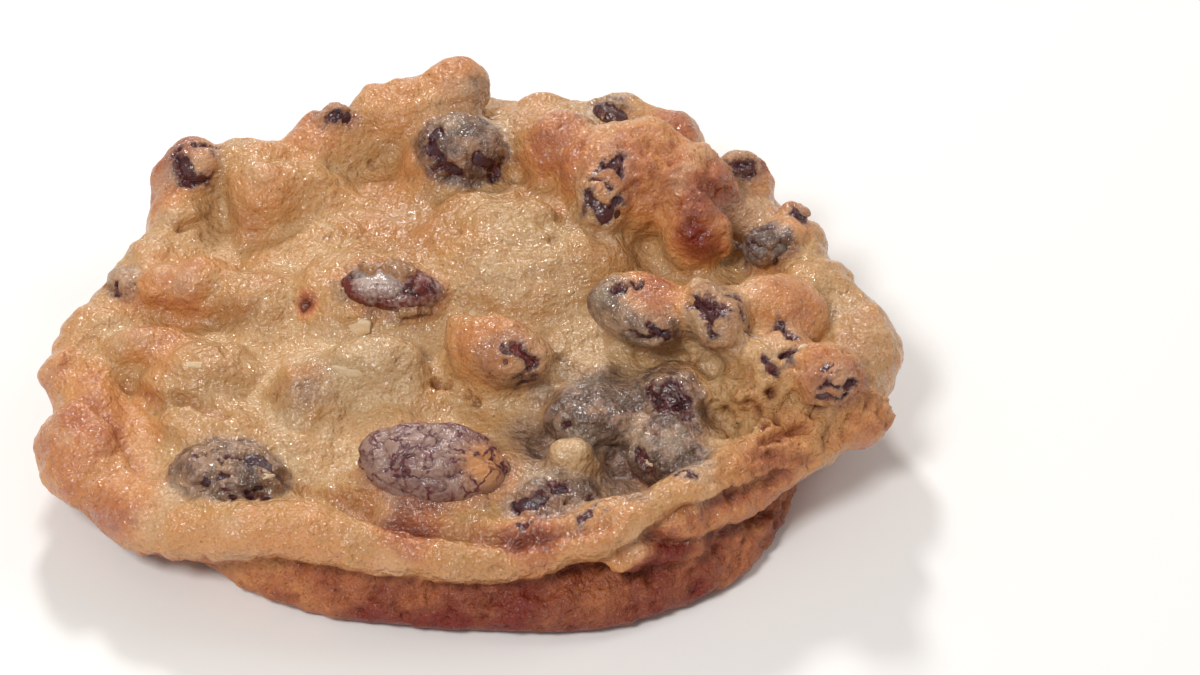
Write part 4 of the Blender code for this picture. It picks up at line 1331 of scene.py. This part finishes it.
class StageSettings(bpy.types.PropertyGroup):
    distance: bpy.props.FloatProperty(
        name="Camera distance", description="From the camera to the cookie", default=0.26, unit="LENGTH"
    )
    floor_hex: bpy.props.StringProperty(
        name="Floor", description="Colour of the table top", default="#f6f4f1"
    )
    key: bpy.props.FloatProperty(
        name="Key light", description="Strength in watts", default=0.98, min=0.0
    )
    back: bpy.props.FloatProperty(
        name="Back light", description="Strength in watts", default=1.05, min=0.0
    )
    side: bpy.props.FloatProperty(
        name="Side light", description="Strength in watts", default=0.3, min=0.0
    )
    fill_hex: bpy.props.StringProperty(
        name="Fill colour", description="Colour of the soft light all round", default="#fffaf6"
    )
    fill: bpy.props.FloatProperty(
        name="Fill", description="Strength of the soft light all round", default=0.31, min=0.0
    )


class COOKIE_OT_crust(bpy.types.Operator):
    """Make the dough with its relief and browning"""

    bl_idname = "cookie.crust"
    bl_label = "Crust"

    def execute(self, context):
        bake_crust(context.scene.cookie_crust)
        return {"FINISHED"}


class COOKIE_OT_raisins(bpy.types.Operator):
    """Make the wrinkled raisins"""

    bl_idname = "cookie.raisins"
    bl_label = "Raisins"

    def execute(self, context):
        dough_hex = context.scene.cookie_crust.orange_hex
        materials = {finish: raisin_skin(finish, dough_hex) for finish in FINISHES}
        for number, (name, look) in enumerate(LOOKS.items()):
            shape_raisin(name, look, materials, 10.0 * number + 1.0)
        return {"FINISHED"}


class COOKIE_OT_flakes(bpy.types.Operator):
    """Lay the bare oat flakes on the crust"""

    bl_idname = "cookie.flakes"
    bl_label = "Oat flakes"

    def execute(self, context):
        place_flakes(context.scene.cookie_flakes)
        return {"FINISHED"}


class COOKIE_OT_stage(bpy.types.Operator):
    """Set the table top, the camera and the lights"""

    bl_idname = "cookie.stage"
    bl_label = "Stage"

    def execute(self, context):
        set_stage(context.scene.cookie_stage)
        return {"FINISHED"}


class COOKIE_PT_panel(bpy.types.Panel):
    """The steps of the cookie"""

    bl_label = "Oatmeal Raisin Cookie"
    bl_space_type = "VIEW_3D"
    bl_region_type = "UI"
    bl_category = "Cookie"

    def draw(self, context):
        for step in ("crust", "raisins", "flakes", "stage"):
            self.layout.operator("cookie." + step)
            settings = getattr(context.scene, "cookie_" + step, None)
            if settings:
                for name in type(settings).__annotations__:
                    self.layout.prop(settings, name)


CLASSES = (
    CrustSettings,
    FlakeSettings,
    StageSettings,
    COOKIE_OT_crust,
    COOKIE_OT_raisins,
    COOKIE_OT_flakes,
    COOKIE_OT_stage,
    COOKIE_PT_panel,
)
GROUPS = {"cookie_crust": CrustSettings, "cookie_flakes": FlakeSettings, "cookie_stage": StageSettings}


def register():
    for cls in CLASSES:
        bpy.utils.register_class(cls)
    for name, group in GROUPS.items():
        setattr(bpy.types.Scene, name, bpy.props.PointerProperty(type=group))


def unregister():
    for name in GROUPS:
        delattr(bpy.types.Scene, name)
    for cls in reversed(CLASSES):
        bpy.utils.unregister_class(cls)


def main():
    register()
    bpy.ops.cookie.crust()
    bpy.ops.cookie.raisins()
    bpy.ops.cookie.flakes()
    bpy.ops.cookie.stage()


if __name__ == "__main__":
    main()
